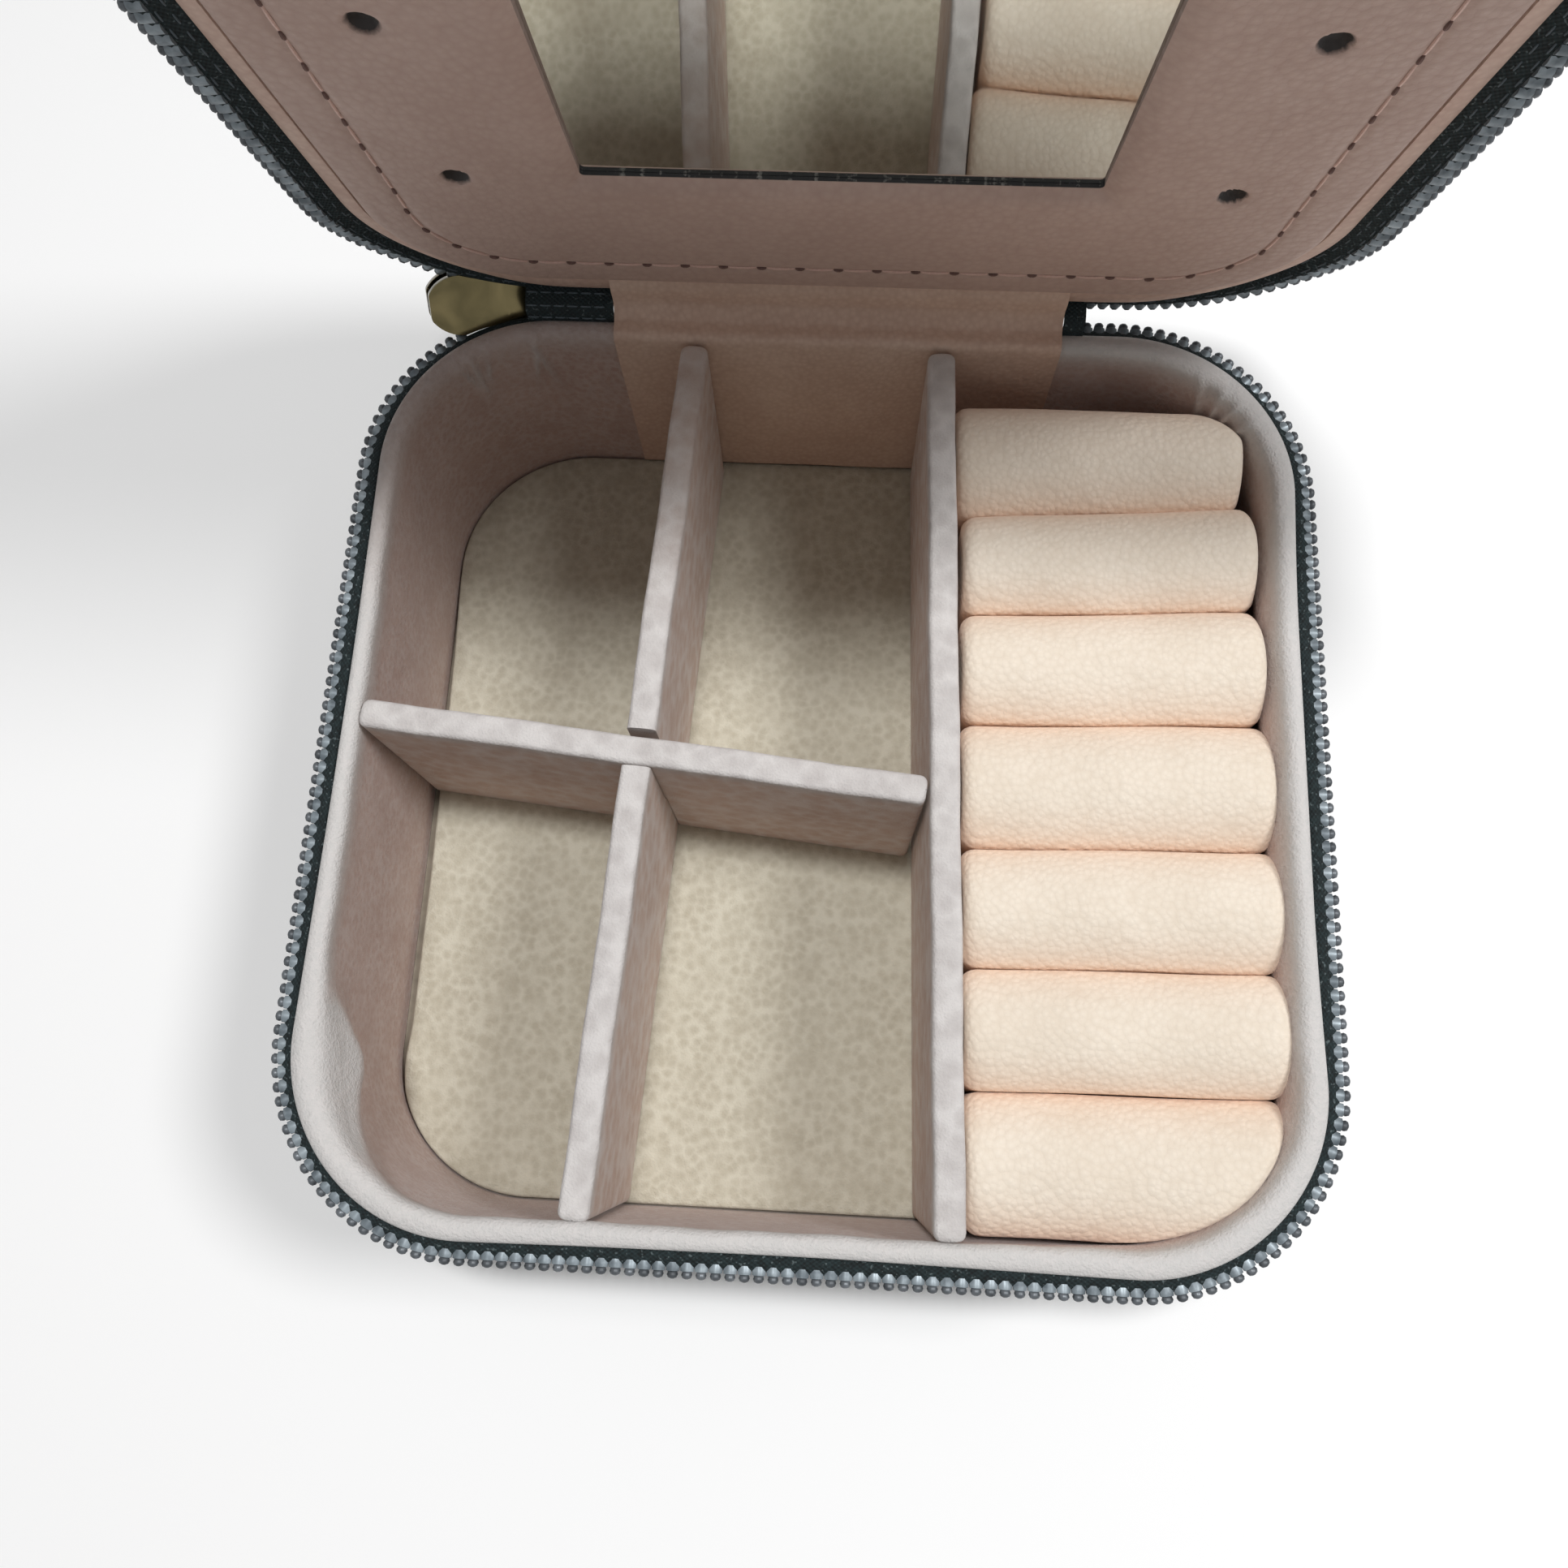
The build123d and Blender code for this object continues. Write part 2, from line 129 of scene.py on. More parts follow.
def build(name, points, faces, material, uv=None, values=None, smooth=45):
    """A mesh object at the origin, from points in millimetres, with its own flat map and point values."""
    mesh = bpy.data.meshes.new(name)
    mesh.from_pydata((points.reshape(-1, 3) * mm).tolist(), [], faces)
    if uv is not None:
        vertex = np.empty(len(mesh.loops), np.int32)
        mesh.loops.foreach_get("vertex_index", vertex)
        flat = (uv.reshape(-1, 2) * mm)[vertex].astype(np.float32)
        mesh.uv_layers.new(name="flat").data.foreach_set("uv", flat.ravel())
    for key, value in (values or {}).items():
        layer = mesh.attributes.new(key, "FLOAT", "POINT")
        layer.data.foreach_set("value", value.astype(np.float32).ravel())
    mesh.shade_smooth()
    mesh.set_sharp_from_angle(angle=math.radians(smooth))
    mesh.materials.append(material)
    made = bpy.data.objects.new(name, mesh)
    bpy.context.scene.collection.objects.link(made)
    return made


def dressed(made, body, slot, *nodes):
    """The piece rides on its body and stands for the CAD nodes. The slot is not used."""
    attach(made, body)
    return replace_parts(made, *nodes) if nodes else made


def srgb(red, green, blue):
    """A colour as a screen shows it, 0 to 255, as the shader's linear colour."""
    value = np.array([red, green, blue]) / 255
    linear = np.where(value > 0.04045, ((value + 0.055) / 1.055) ** 2.4, value / 12.92)
    return (*linear.tolist(), 1.0)


def node(tree, kind, inputs=None, **settings):
    """A new shader node, whose inputs take a value each or another node's output."""
    made = tree.nodes.new(kind)
    for key, value in settings.items():
        setattr(made, key, value)
    for key, value in (inputs or {}).items():
        if isinstance(value, bpy.types.NodeSocket):
            tree.links.new(value, made.inputs[key])
        else:
            made.inputs[key].default_value = value
    return made


def mix(tree, factor, first, second):
    """The colour between two colours at a factor."""
    return node(tree, "ShaderNodeMix", {0: factor, 6: first, 7: second}, data_type="RGBA").outputs[2]


def math_node(tree, operation, first, second=0.0, third=0.0):
    """The value of a sum on numbers or outputs."""
    return node(tree, "ShaderNodeMath", {0: first, 1: second, 2: third}, operation=operation).outputs[0]


def span(tree, value, low, high, to_low=0.0, to_high=1.0):
    """A value moved from one span to another and held inside it."""
    return node(tree, "ShaderNodeMapRange", {0: value, 1: low, 2: high, 3: to_low, 4: to_high}).outputs[0]


def coloured(tree, inputs, factor, first, second):
    """The shader's colour lies between two colours at a factor."""
    tree.links.new(mix(tree, factor, first, second), inputs["Base Color"])


def roughened(tree, inputs, value, at_low, at_high):
    """The shader's roughness follows a value from 0 to 1."""
    tree.links.new(span(tree, value, 0.0, 1.0, at_low, at_high), inputs["Roughness"])


def painted(tree, name):
    """A value that the mesh carries at its points."""
    return node(tree, "ShaderNodeAttribute", attribute_name=name).outputs["Fac"]


def own_place(tree, kind="Object"):
    """Where a point lies in the piece's own space, or on its flat map."""
    return node(tree, "ShaderNodeTexCoord").outputs[kind]


def noise(tree, place, scale, detail=2.0, distortion=0.0):
    """A cloudy value that drifts between 0 and 1."""
    inputs = {"Vector": place, "Scale": scale, "Detail": detail, "Distortion": distortion}
    return node(tree, "ShaderNodeTexNoise", inputs).outputs[0]


def new_group(name, inputs, outputs):
    """An empty shader group with float outputs, and its two ends."""
    group = bpy.data.node_groups.new(name, "ShaderNodeTree")
    for label, kind in inputs.items():
        group.interface.new_socket(label, in_out="INPUT", socket_type=kind)
    for label in outputs:
        group.interface.new_socket(label, in_out="OUTPUT", socket_type="NodeSocketFloat")
    return group, node(group, "NodeGroupInput").outputs, node(group, "NodeGroupOutput").inputs


def new_material(name, **constants):
    """A material's node tree and its one shader, whose plain sockets hold the constants."""
    made = bpy.data.materials.new(name)
    made.use_nodes = True
    shader = made.node_tree.nodes["Principled BSDF"]
    for key, value in constants.items():
        shader.inputs[key.replace("_", " ").title().replace("Ior", "IOR")].default_value = value
    return made, made.node_tree, shader.inputs


def bumped(tree, inputs, height, depth):
    """The height bumps the shader's normal by a depth in millimetres."""
    bump = node(tree, "ShaderNodeBump", {"Strength": 1.0, "Distance": depth * mm, "Height": height})
    tree.links.new(bump.outputs[0], inputs["Normal"])


vector_and_scale = {"Vector": "NodeSocketVector", "Scale": "NodeSocketFloat"}
grain_group, enter, leave = new_group("leather_grain", vector_and_scale, ["Shade", "Height"])
pebbles = node(grain_group, "ShaderNodeTexVoronoi", {"Vector": enter[0], "Scale": enter[1]})
pores = noise(grain_group, enter[0], 3200.0)
clouds = math_node(grain_group, "MULTIPLY", noise(grain_group, enter[0], 120.0, 4.0), 0.65)
rise = math_node(grain_group, "MULTIPLY_ADD", pebbles.outputs["Distance"], -1.0, 1.0)
grain_group.links.new(math_node(grain_group, "MULTIPLY_ADD", pores, 0.35, rise), leave["Height"])
tone = math_node(grain_group, "MULTIPLY_ADD", rise, 0.35, clouds)
grain_group.links.new(span(grain_group, tone, 0.35, 0.8), leave["Shade"])


def grained(tree, scale):
    """The leather grain's outputs over the piece's own space."""
    inputs = {"Vector": own_place(tree), "Scale": scale}
    return node(tree, "ShaderNodeGroup", inputs, node_tree=grain_group).outputs


def leather(name, dark, light, scale, depth, rough, **constants):
    """Pebbled leatherette: the grain's shade sets colour and roughness, its height bumps the surface."""
    made, tree, inputs = new_material(name, **constants)
    grain = grained(tree, scale)
    coloured(tree, inputs, grain["Shade"], dark, light)
    roughened(tree, inputs, grain["Shade"], rough + 0.08, rough - 0.05)
    bumped(tree, inputs, grain["Height"], depth)
    return made


def speckled(name, dark, light, scale, rough, detail=2.0, depth=0.0):
    """Thread or card: a fine noise drifts between two tones, and bumps the surface where it has a depth."""
    made, tree, inputs = new_material(name, Roughness=rough)
    fibre = noise(tree, own_place(tree), scale, detail)
    coloured(tree, inputs, fibre, dark, light)
    if depth:
        bumped(tree, inputs, fibre, depth)
    return made


def bell(value, middle, width):
    """A bell curve: 1 at its middle, falling off to both sides over the width."""
    return np.exp(-(((value - middle) / width) ** 2))


skin_thick, heel_round, underside_inset = 0.8, 3.0, 9.0
seam_drop, seam_pitch = 2.2, 3.2


def leather_cup(height):
    """The skin's profile: a flat underside, a quarter circle, an upright wall that swells by a sine and
    dips along the seam, the turned edge, and the same way back inside the skin."""
    turn = np.linspace(0, math.pi / 2, 9)
    heel = np.stack([np.sin(turn) - 1, 1 - np.cos(turn)], -1) * heel_round
    level = np.linspace(heel_round, height - 0.5, 30)[1:]
    swell = 0.18 * np.sin(math.pi * (level - heel_round) / (height - 0.5 - heel_round))
    wall = np.stack([swell - 0.22 * bell(level, height - seam_drop, 0.45), level], -1)
    edge = [[-0.12, height - 0.2], [-0.4, height], [-0.7, height - 0.15], [-skin_thick, height - 0.7]]
    inside = [[-skin_thick, 3.2], [-1.5, 1.5], [-3.2, skin_thick], [-underside_inset, skin_thick]]
    return np.vstack([[[-underside_inset, 0]], heel, wall, edge, inside])


def copied_faces(count, rows, columns):
    """Faces of many like beads, each a few rings and two ends, numbered one bead after the other."""
    first = (np.arange(count) * rows * columns)[:, None, None]
    around = np.array(grid_faces(rows, columns, loop_columns=True))[:, ::-1]
    ends = np.stack([np.arange(columns)[::-1], np.arange(columns) + (rows - 1) * columns])
    return (first + around).reshape(-1, 4).tolist() + (first + ends).reshape(-1, columns).tolist()


def stitch_rows(name, centre, along, up, length, radius, material):
    """A row of stitches: one small spindle, drawn out along its own length and sunk at both ends, carried
    to every place by the seam's direction and the surface's outward direction there."""
    side = np.cross(up, along)
    reach = np.array([-1, -0.8, -0.3, 0.3, 0.8, 1]) * length / 2
    girth = np.array([0.3, 0.8, 1, 1, 0.8, 0.3]) * radius
    sink = np.array([-1.2, -0.3, 0, 0, -0.3, -1.2]) * radius
    turn = np.arange(6) * math.pi / 3
    lift = sink[:, None] + girth[:, None] * np.sin(turn)
    spread = girth[:, None] * np.cos(turn)
    points = (centre[:, None, None] + along[:, None, None] * reach[:, None, None]
              + side[:, None, None] * spread[..., None] + up[:, None, None] * lift[..., None])
    return build(name, points, copied_faces(len(centre), len(reach), len(turn)), material)


def seam_shares(count, start, stop):
    """Even shares of the case's outline, each in the middle of its stretch."""
    return start + (np.arange(count) + 0.5) / count * (stop - start)


def seam_places(offset, height, pitch, start=0.0, stop=1.0):
    """Places a pitch apart along the case's outline, with the directions along and outwards there."""
    length = 4 * (half_x + half_y - 2 * corner) + 2 * math.pi * (corner + offset)
    count = int((stop - start) * length / pitch)
    share = seam_shares(count, start, stop)
    point, out = rounded_walk(share, half_x + offset, half_y + offset, corner + offset)
    flat = np.zeros((count, 1))
    out = np.hstack([out, flat])
    along = np.stack([-out[:, 1], out[:, 0], flat[:, 0]], -1)
    return np.hstack([point, flat + height]), along, out


def opened_seam(centre, along, up):
    """A seam's places and directions on the shut lid, turned to where the lid stands open."""
    turned = opened(centre)
    return turned, opened(centre + along) - turned, opened(centre + up) - turned


skin = leather(
    "outer_leather", srgb(17, 24, 24), srgb(36, 46, 45), scale=1100.0, depth=0.09, rough=0.5,
    Specular_ior_level=0.4)
skin_thread = speckled("skin_thread", srgb(20, 27, 28), srgb(52, 62, 62), scale=4000.0, rough=0.7)
ring_rows = 400
ring_share = np.arange(ring_rows) / ring_rows
for body, height in (("base", base_skin_height), ("lid", lid_skin_height)):
    points = wall_points(leather_cup(height), ring_share)
    faces = cup_faces(ring_rows, points.shape[1])
    centre, along, up = seam_places(-0.02, height - seam_drop, seam_pitch)
    if body == "lid":
        points[..., 2] = case_top - points[..., 2]
        points = opened(points)
        faces = flipped(faces)
        centre[:, 2] = case_top - centre[:, 2]
        centre, along, up = opened_seam(centre, along, up)
    dressed(build(f"{body}_leather", points, faces, skin), body, "outer_leather", f"{body}_leather_shell")
    seam = stitch_rows(
        f"{body}_leather_stitches", centre, along, up, length=2.6, radius=0.22, material=skin_thread)
    dressed(seam, body, "outer_leather")


# Boards: stiff card in the floor, the top, the walls and behind the mirror, cut to shape and glued between
# the skin and the linings. It is hidden once the box is made up.

card = speckled(
    "card", srgb(120, 112, 100), srgb(168, 158, 142), scale=700.0, rough=0.85, detail=6.0, depth=0.05)
for board in ("base_bottom_board", "base_wall_board", "lid_top_board", "lid_wall_board",
              "mirror_frame_board", "panel_back_board"):
    made = frame["nodes"][board]
    made.data.materials.clear()
    made.data.materials.append(card)


# Wall of the base: short-piled velvet glued over thin foam, with a soft rolled rim. It creases in the two
# back corners, bulges along the ring rolls and buckles inwards before the front left corner.

pile_group, enter, leave = new_group("velvet_pile", vector_and_scale, ["Mottle", "Nap", "Height"])
wobble = node(pile_group, "ShaderNodeTexNoise", {"Vector": enter[0], "Scale": 700.0, "Detail": 1.0})
swirl = node(pile_group, "ShaderNodeVectorMath", {0: wobble.outputs["Color"], 3: 0.0006}, operation="SCALE")
bent_place = node(pile_group, "ShaderNodeVectorMath", {0: enter[0], 1: swirl.outputs[0]}, operation="ADD")
cells = node(pile_group, "ShaderNodeTexVoronoi", {"Vector": bent_place.outputs[0], "Scale": enter[1]})
patches = span(pile_group, noise(pile_group, enter[0], 300.0), 0.3, 0.6, 0.35, 1.0)
nap = noise(pile_group, enter[0], 75.0, 3.0)
flecks = math_node(pile_group, "MULTIPLY", noise(pile_group, enter[0], 1300.0, 3.0), 0.6)
fuzz = noise(pile_group, enter[0], 4200.0, 3.0)
edges = span(pile_group, cells.outputs["Distance"], 0.25, 0.75, 0.0, 0.6)
blotch = math_node(pile_group, "MULTIPLY_ADD", edges, patches, flecks)
pile_group.links.new(span(pile_group, blotch, 0.2, 0.85), leave["Mottle"])
pile_group.links.new(span(pile_group, nap, 0.3, 0.7), leave["Nap"])
pile_group.links.new(math_node(pile_group, "MULTIPLY_ADD", blotch, 0.5, fuzz), leave["Height"])


def velvet(name, dark, light, pale, cell, pale_share, depth, sheen_colour=None, **constants):
    """Short pile: the nap drifts between two tones, soft cells with pale edges mottle it, and the fuzz
    bumps it. Where the point value "top" rises to 1, it takes the sheen colour, painted sheen for the
    pile where light falls on it."""
    made, tree, inputs = new_material(name, Roughness=0.95, Specular_ior_level=0.15, **constants)
    spread = {"Vector": own_place(tree), "Scale": 1 / (cell * mm)}
    pile = node(tree, "ShaderNodeGroup", spread, node_tree=pile_group).outputs
    ground = mix(tree, pile["Nap"], dark, light)
    if sheen_colour:
        # Painted light: the "top" value mixes in the pale colour of the lit pile.
        top = painted(tree, "top")
        ground = mix(tree, top, ground, sheen_colour)
    share = math_node(tree, "MULTIPLY", pile["Mottle"], pale_share)
    coloured(tree, inputs, share, ground, pale)
    bumped(tree, inputs, pile["Height"], depth)
    return made


# The pale colour for the pile's top is painted sheen, as the pile looks where light falls on it.
wall_velvet = velvet(
    "wall_velvet", srgb(180, 153, 143), srgb(196, 171, 161), srgb(220, 214, 212), cell=0.7,
    pale_share=0.32, depth=0.12, sheen_colour=srgb(202, 200, 198), Sheen_weight=0.2, Sheen_roughness=0.45)
wall_rows = 900
wall_share = np.arange(wall_rows) / wall_rows
walk_length = 4 * (half_x + half_y - 2 * corner) + 2 * math.pi * corner
rim = np.array([
    [-1.42, 2.05], [-1.42, 12.0], [-1.42, 22.0], [-1.42, 27.0], [-1.6, 27.8], [-1.66, 28.4], [-1.66, 28.8],
    [-1.74, 29.12], [-1.96, 29.34], [-2.26, 29.46], [-2.66, 29.42], [-2.98, 29.22], [-3.22, 28.88],
    [-3.3, 28.4], [-3.28, 27.8], [-3.2, 27.0], [-3.12, 26.2]])
wall_inside, rim_level, crease_level, soft_rim = -3.04, 29.4, 29.0, 26.0
level = np.linspace(25.4, 2.05, 32)
wall_profile = np.vstack([rim, np.stack([np.full(len(level), wall_inside), level], -1)])
outer_points, rolled_points = 8, slice(4, 10)
rolled_out = np.array([0.4, 0.6, 0.64, 0.54, 0.36, 0.16])


def eased(walked, place, value, soft, count):
    """A value along the wall: straight between places, and averaged over a length at a count of points."""
    spread = walked[..., None] + np.linspace(-soft / 2, soft / 2, count)
    return np.interp(spread, place, value).mean(-1)


def buckle(walked):
    """Height of the buckle's crest along the wall, and how far the crest stands inwards."""
    place = [113.5, 118.7, 122.0, 128.5, 140.5]
    crest = eased(walked, place, [27.0, 23.0, 22.0, 24.0, 28.4], 5.0, 11)
    return crest, eased(walked, place, [0.0, 2.2, 2.8, 1.5, 0.0], 5.0, 11)


def creases(walked, height):
    """Narrow slanting bell-shaped ridges in each back corner, 0 to 1, strongest below the rim."""
    ridges = np.zeros(np.broadcast_shapes(walked.shape, height.shape))
    for middle, slant, width, reach in (
            (33.0, 0.2, 0.4, 4.5), (33.9, -0.23, 0.4, 4.5), (39.6, 0.2, 0.4, 2.5), (41.9, -0.05, 0.5, 4.0),
            (43.8, -0.3, 0.4, 3.0), (306.0, 0.5, 0.55, 3.0), (309.0, 0.2, 0.45, 3.5),
            (311.6, -0.15, 0.5, 3.5), (315.0, -0.45, 0.6, 3.0)):
        ridge = bell(walked - slant * (crease_level - height), middle, width)
        ridges = np.maximum(ridges, ridge * bell(height, soft_rim, reach))
    return ridges


def wall_folds(walked, height):
    """How far the velvet stands inwards: slow waves along the rim, the creases, a broad swell in the back
    right corner, a belly along the ring rolls' ends, and a buckle before the front left corner. The buckle
    rounds over from the rim to its crest, which sinks and rises again along the wall, and falls back below
    it as a bell curve."""
    waves = 0.05 * np.sin(0.31 * walked + 0.08 * height) + 0.04 * np.sin(0.83 * walked - 0.2 * height + 1.0)
    folds = waves * (height > soft_rim) + 0.6 * creases(walked, height)
    folds = folds + 0.9 * bell(walked, 312, 11) * bell(height, 23, 5)
    folds = folds + 1.2 * np.exp(-(((walked - 255) / 48) ** 6)) * bell(height, 24.5, 3.2)
    crest, swell = buckle(walked)
    slope = np.clip((rim_level - height) / (rim_level - crest), 0, 1) ** 0.6
    return folds + swell * np.where(height > crest, slope, bell(height, crest, 3.0))


def painted_sheen_share(points):
    """How much painted sheen the pile's top takes: fully in most places, and less towards the back left,
    where painted shade stands for the lid's shadow.
    """
    return 1 - 0.65 * np.clip((points[..., 1] - 12) / 24, 0, 1) * np.clip((8 - points[..., 0]) / 20, 0, 1)


def over_tape(walked):
    """How far the rim rolls out over the zip tape, 0 to 1: fully at the hinge and in the corners, and less
    along the straight sides."""
    place = [0, 40, 62, 80, 96, 112, 122, 146, 160, 180, 198, 210, 234, 250, 285, 300, 356]
    share = [1, 0.8, 0.2, 0, 0.2, 0.7, 1, 1, 0.6, 0.4, 0.75, 1, 0.9, 0.05, 0.05, 0.9, 1]
    return eased(walked, place, share, 8.0, 9)


walked = wall_share[:, None] * walk_length
inner_side = np.arange(len(wall_profile)) >= outer_points
profile = np.repeat(wall_profile[None], wall_rows, 0)
profile[..., 0] -= wall_folds(walked, wall_profile[None, :, 1]) * inner_side
profile[:, rolled_points, 0] += rolled_out * over_tape(walked)
points = wall_points(profile, wall_share)
crest, swell = buckle(walked)
# Painted light: the rim's top, the buckle's slope and the crease ridges are painted pale as lit sheen, with
# less of it towards the back left as painted shade under the lid's shadow.
top = np.clip((points[..., 2] - 25.0) / 3.8, 0, 1) ** 1.4
on_buckle = np.clip(swell, 0, 1) * np.clip((points[..., 2] - crest + 1.2) / 1.8, 0, 1)
top = np.maximum(top, on_buckle) * painted_sheen_share(points)
top = np.maximum(top, 0.7 * creases(walked, points[..., 2]) * inner_side)
faces = grid_faces(wall_rows, len(wall_profile), True, True)
made = build("velvet_wall", points, faces, wall_velvet, values={"top": top}, smooth=60)
dressed(made, "base", "wall_velvet", "base_wall_lining")


# Floor pad: beige velvet over a thin pad, cut a little smaller than the walls, so a dark line runs round
# it, widest along the left wall.

floor_velvet = velvet(
    "floor_velvet", srgb(183, 176, 158), srgb(193, 187, 169), srgb(220, 216, 200), cell=1.05,
    pale_share=0.6, depth=0.1, Sheen_weight=0.15, Sheen_roughness=0.5)
pad_rows, pad_top = 360, 3.5
pad_share = np.arange(pad_rows) / pad_rows
pad_edge = np.array([[-3.4, 2.03], [-3.26, 2.3], [-3.24, 3.0], [-3.34, 3.3], [-3.6, 3.48]])
gap_places, gap_widths = [62.0, 72.0, 100.0, 116.0, 125.0], [0.0, 0.4, 0.8, 0.8, 0.0]
left_gap = np.interp(pad_share * walk_length, gap_places, gap_widths)
pad_edge = np.repeat(pad_edge[None], pad_rows, 0)
pad_edge[..., 0] -= left_gap[:, None]
edge = wall_points(pad_edge, pad_share)
shrink = np.linspace(1, 0.02, 30)[1:, None]
plan = edge[:, -1, None, :2] * shrink
dents = 0.05 * np.sin(plan[..., 0] * 0.35 + 1) * np.cos(plan[..., 1] * 0.28)
dents = dents + 0.03 * np.sin(plan.sum(-1) * 0.9)
top = np.concatenate([plan, pad_top + dents[..., None]], -1)
points = np.concatenate([edge, top], 1)
made = build("floor_pad", points, cup_faces(pad_rows, points.shape[1]), floor_velvet)
dressed(made, "base", "floor_velvet", "base_floor_pad")


# Dividers: card wrapped in the wall's velvet. The ring divider is glued in. The long and the cross divider
# are loose and halve into each other, the cross one on top.

# The pale colour for the boards' tops is painted sheen, as the pile looks where light falls on it.
divider_velvet = velvet(
    "divider_velvet", srgb(190, 164, 150), srgb(206, 182, 168), srgb(226, 223, 221), cell=2.0,
    pale_share=0.5, depth=0.1, sheen_colour=srgb(190, 185, 183), Sheen_weight=0.2, Sheen_roughness=0.45)
divider_half = 1.45
foot, ridge_top = 3.6, 29.5
lap_middle = (foot + ridge_top) / 2
front_end, back_end = -44.85, 44.25


def tube_faces(rows, columns):
    """Quads of a row of rings, and a face over each end."""
    ends = [list(range(columns)), list(range((rows - 1) * columns, rows * columns))[::-1]]
    return grid_faces(rows, columns, loop_columns=True) + ends


def covered_board(name, start, end, notch=None, notch_down=False):
    """A covered board on edge: at every station along it a section with upright sides and a round top. The
    section draws in at both ends, and between the notch's sides its top is lowered or its foot raised."""
    start, end = np.array(start), np.array(end)
    run = np.linalg.norm(end - start)
    along = (end - start) / run
    side = np.array([along[1], -along[0]])
    near = np.array([0, 0.06, 0.2, 0.45, 0.8])
    body = np.linspace(1.2, run - 1.2, 50)
    walls = [] if notch is None else [notch[0] - 0.01, notch[0] + 0.01, notch[1] - 0.01, notch[1] + 0.01]
    station = np.sort(np.concatenate([near, body, run - near, walls]))
    margin = np.minimum(station, run - station)
    drawn = 0.7 * (1 - np.sqrt(1 - np.clip(1 - margin / 0.8, 0, 1) ** 2))
    inside = np.zeros(len(station), bool) if notch is None else (station > notch[0]) & (station < notch[1])
    low = np.where(inside & ~np.array(notch_down), lap_middle, foot)
    high = np.where(inside & np.array(notch_down), lap_middle - 0.2, ridge_top) - drawn * 0.6
    turn = np.linspace(0, math.pi / 2, 7)
    shoulder = 0.55
    rise = np.array([0, 0.02, 0.25, 0.5, 0.75, 0.9])
    right = np.stack([np.full(6, divider_half), rise, np.zeros(6)], -1)
    arc_side, arc_top = divider_half - shoulder * (1 - np.cos(turn)), shoulder * (np.sin(turn) - 1)
    arc = np.stack([arc_side, np.ones(7), arc_top], -1)
    crown = np.array([[0.35, 1, 0.05], [0, 1, 0.07]])
    half = np.vstack([right, arc, crown])
    left = half[:-1][::-1] * [-1, 1, 1]
    section = np.vstack([half, left])
    across = section[:, 0] - np.sign(section[:, 0]) * drawn[:, None]
    height = low[:, None] + section[:, 1] * (high - low)[:, None] + section[:, 2]
    sag = 0.05 * np.sin(station * 0.3)[:, None] + 0.02 * np.sin(station * 0.9 + 2)[:, None]
    plan = start + along * station[:, None, None] + side * (across + sag * section[:, 1])[..., None]
    points = np.concatenate([plan, height[..., None]], -1)
    # Painted light: the board's round top is painted pale as lit sheen, with less of it towards the back
    # left as painted shade under the lid's shadow.
    top = np.clip((height - ridge_top + 1.3) / 1.0, 0, 1) * painted_sheen_share(points)
    return build(name, points, tube_faces(*height.shape), divider_velvet, values={"top": top}, smooth=50)


ring_front, ring_back = np.array([13.7, front_end]), np.array([11.2, back_end])
long_front, long_back = np.array([-20.0, front_end]), np.array([-15.1, back_end])
cross_left, cross_right = np.array([-45.55, 1.9]), np.array([10.745, -3.7])


def crossing(first_start, first_end, second_start, second_end):
    """How far along the first line the second line crosses it."""
    along = (first_end - first_start) / np.linalg.norm(first_end - first_start)
    turn = np.stack([along, second_start - second_end], -1)
    return np.linalg.solve(turn, second_start - first_start)[0]


lap = divider_half + 0.2
on_long = crossing(long_front, long_back, cross_left, cross_right)
on_cross = crossing(cross_left, cross_right, long_front, long_back)
made = covered_board("ring_board", ring_front, ring_back)
dressed(made, "base", "wall_velvet", "ring_divider")
made = covered_board("long_board_cover", long_front, long_back, (on_long - lap, on_long + lap + 0.5), True)
dressed(made, "long_board", "wall_velvet", "long_divider")
made = covered_board("cross_board_cover", cross_left, cross_right, (on_cross - lap, on_cross + lap))
dressed(made, "cross_board", "wall_velvet", "cross_divider")


# Ring rolls: seven foam rolls in peach suede-like leatherette, pressed side by side between the ring
# divider and the wall. The last ones are cut to the case's round corners.

suede, tree, inputs = new_material(
    "roll_suede", Specular_ior_level=0.3, Sheen_weight=0.15, Sheen_roughness=0.5)
grain = grained(tree, 1500.0)
# Painted light and shade: the suede is painted peachier towards the grooves, where shade falls, and paler
# on the crowns, where light falls.
crown = painted(tree, "crown")
groove_shade = mix(tree, grain["Shade"], srgb(236, 199, 173), srgb(243, 211, 187))
ridge = mix(tree, grain["Shade"], srgb(222, 209, 192), srgb(234, 223, 208))
coloured(tree, inputs, crown, groove_shade, ridge)
roughened(tree, inputs, grain["Shade"], 0.8, 0.66)
bumped(tree, inputs, grain["Height"], 0.1)
roll_widths = np.array([12.3, 11.3, 12.0, 12.9, 11.9, 11.6, 13.2])
roll_back, roll_top, pressed = 40.6, 28.3, 0.8
wall_inset = -3.7
short_end, short_round = 43.7, 4.0
divider_gap = (0.3, 0.9, 0.7, 0.5, 0.4, 0.3, 0.3)
wall_gap = (0.5, 1.0, 0.7, 0.2, 0.0, 0.0, 0.0)


def roll_ends(y, gap):
    """Where a roll begins and ends at a depth: a gap from the ring divider, and the wall's round inside."""
    share = (y - front_end) / (back_end - front_end)
    left = ring_front[0] + share * (ring_back[0] - ring_front[0]) + divider_half + gap
    radius = corner + wall_inset
    past = np.clip(np.abs(y) - (half_y - corner), 0, radius)
    right = half_x - corner + np.sqrt(radius ** 2 - past ** 2)
    return left, right


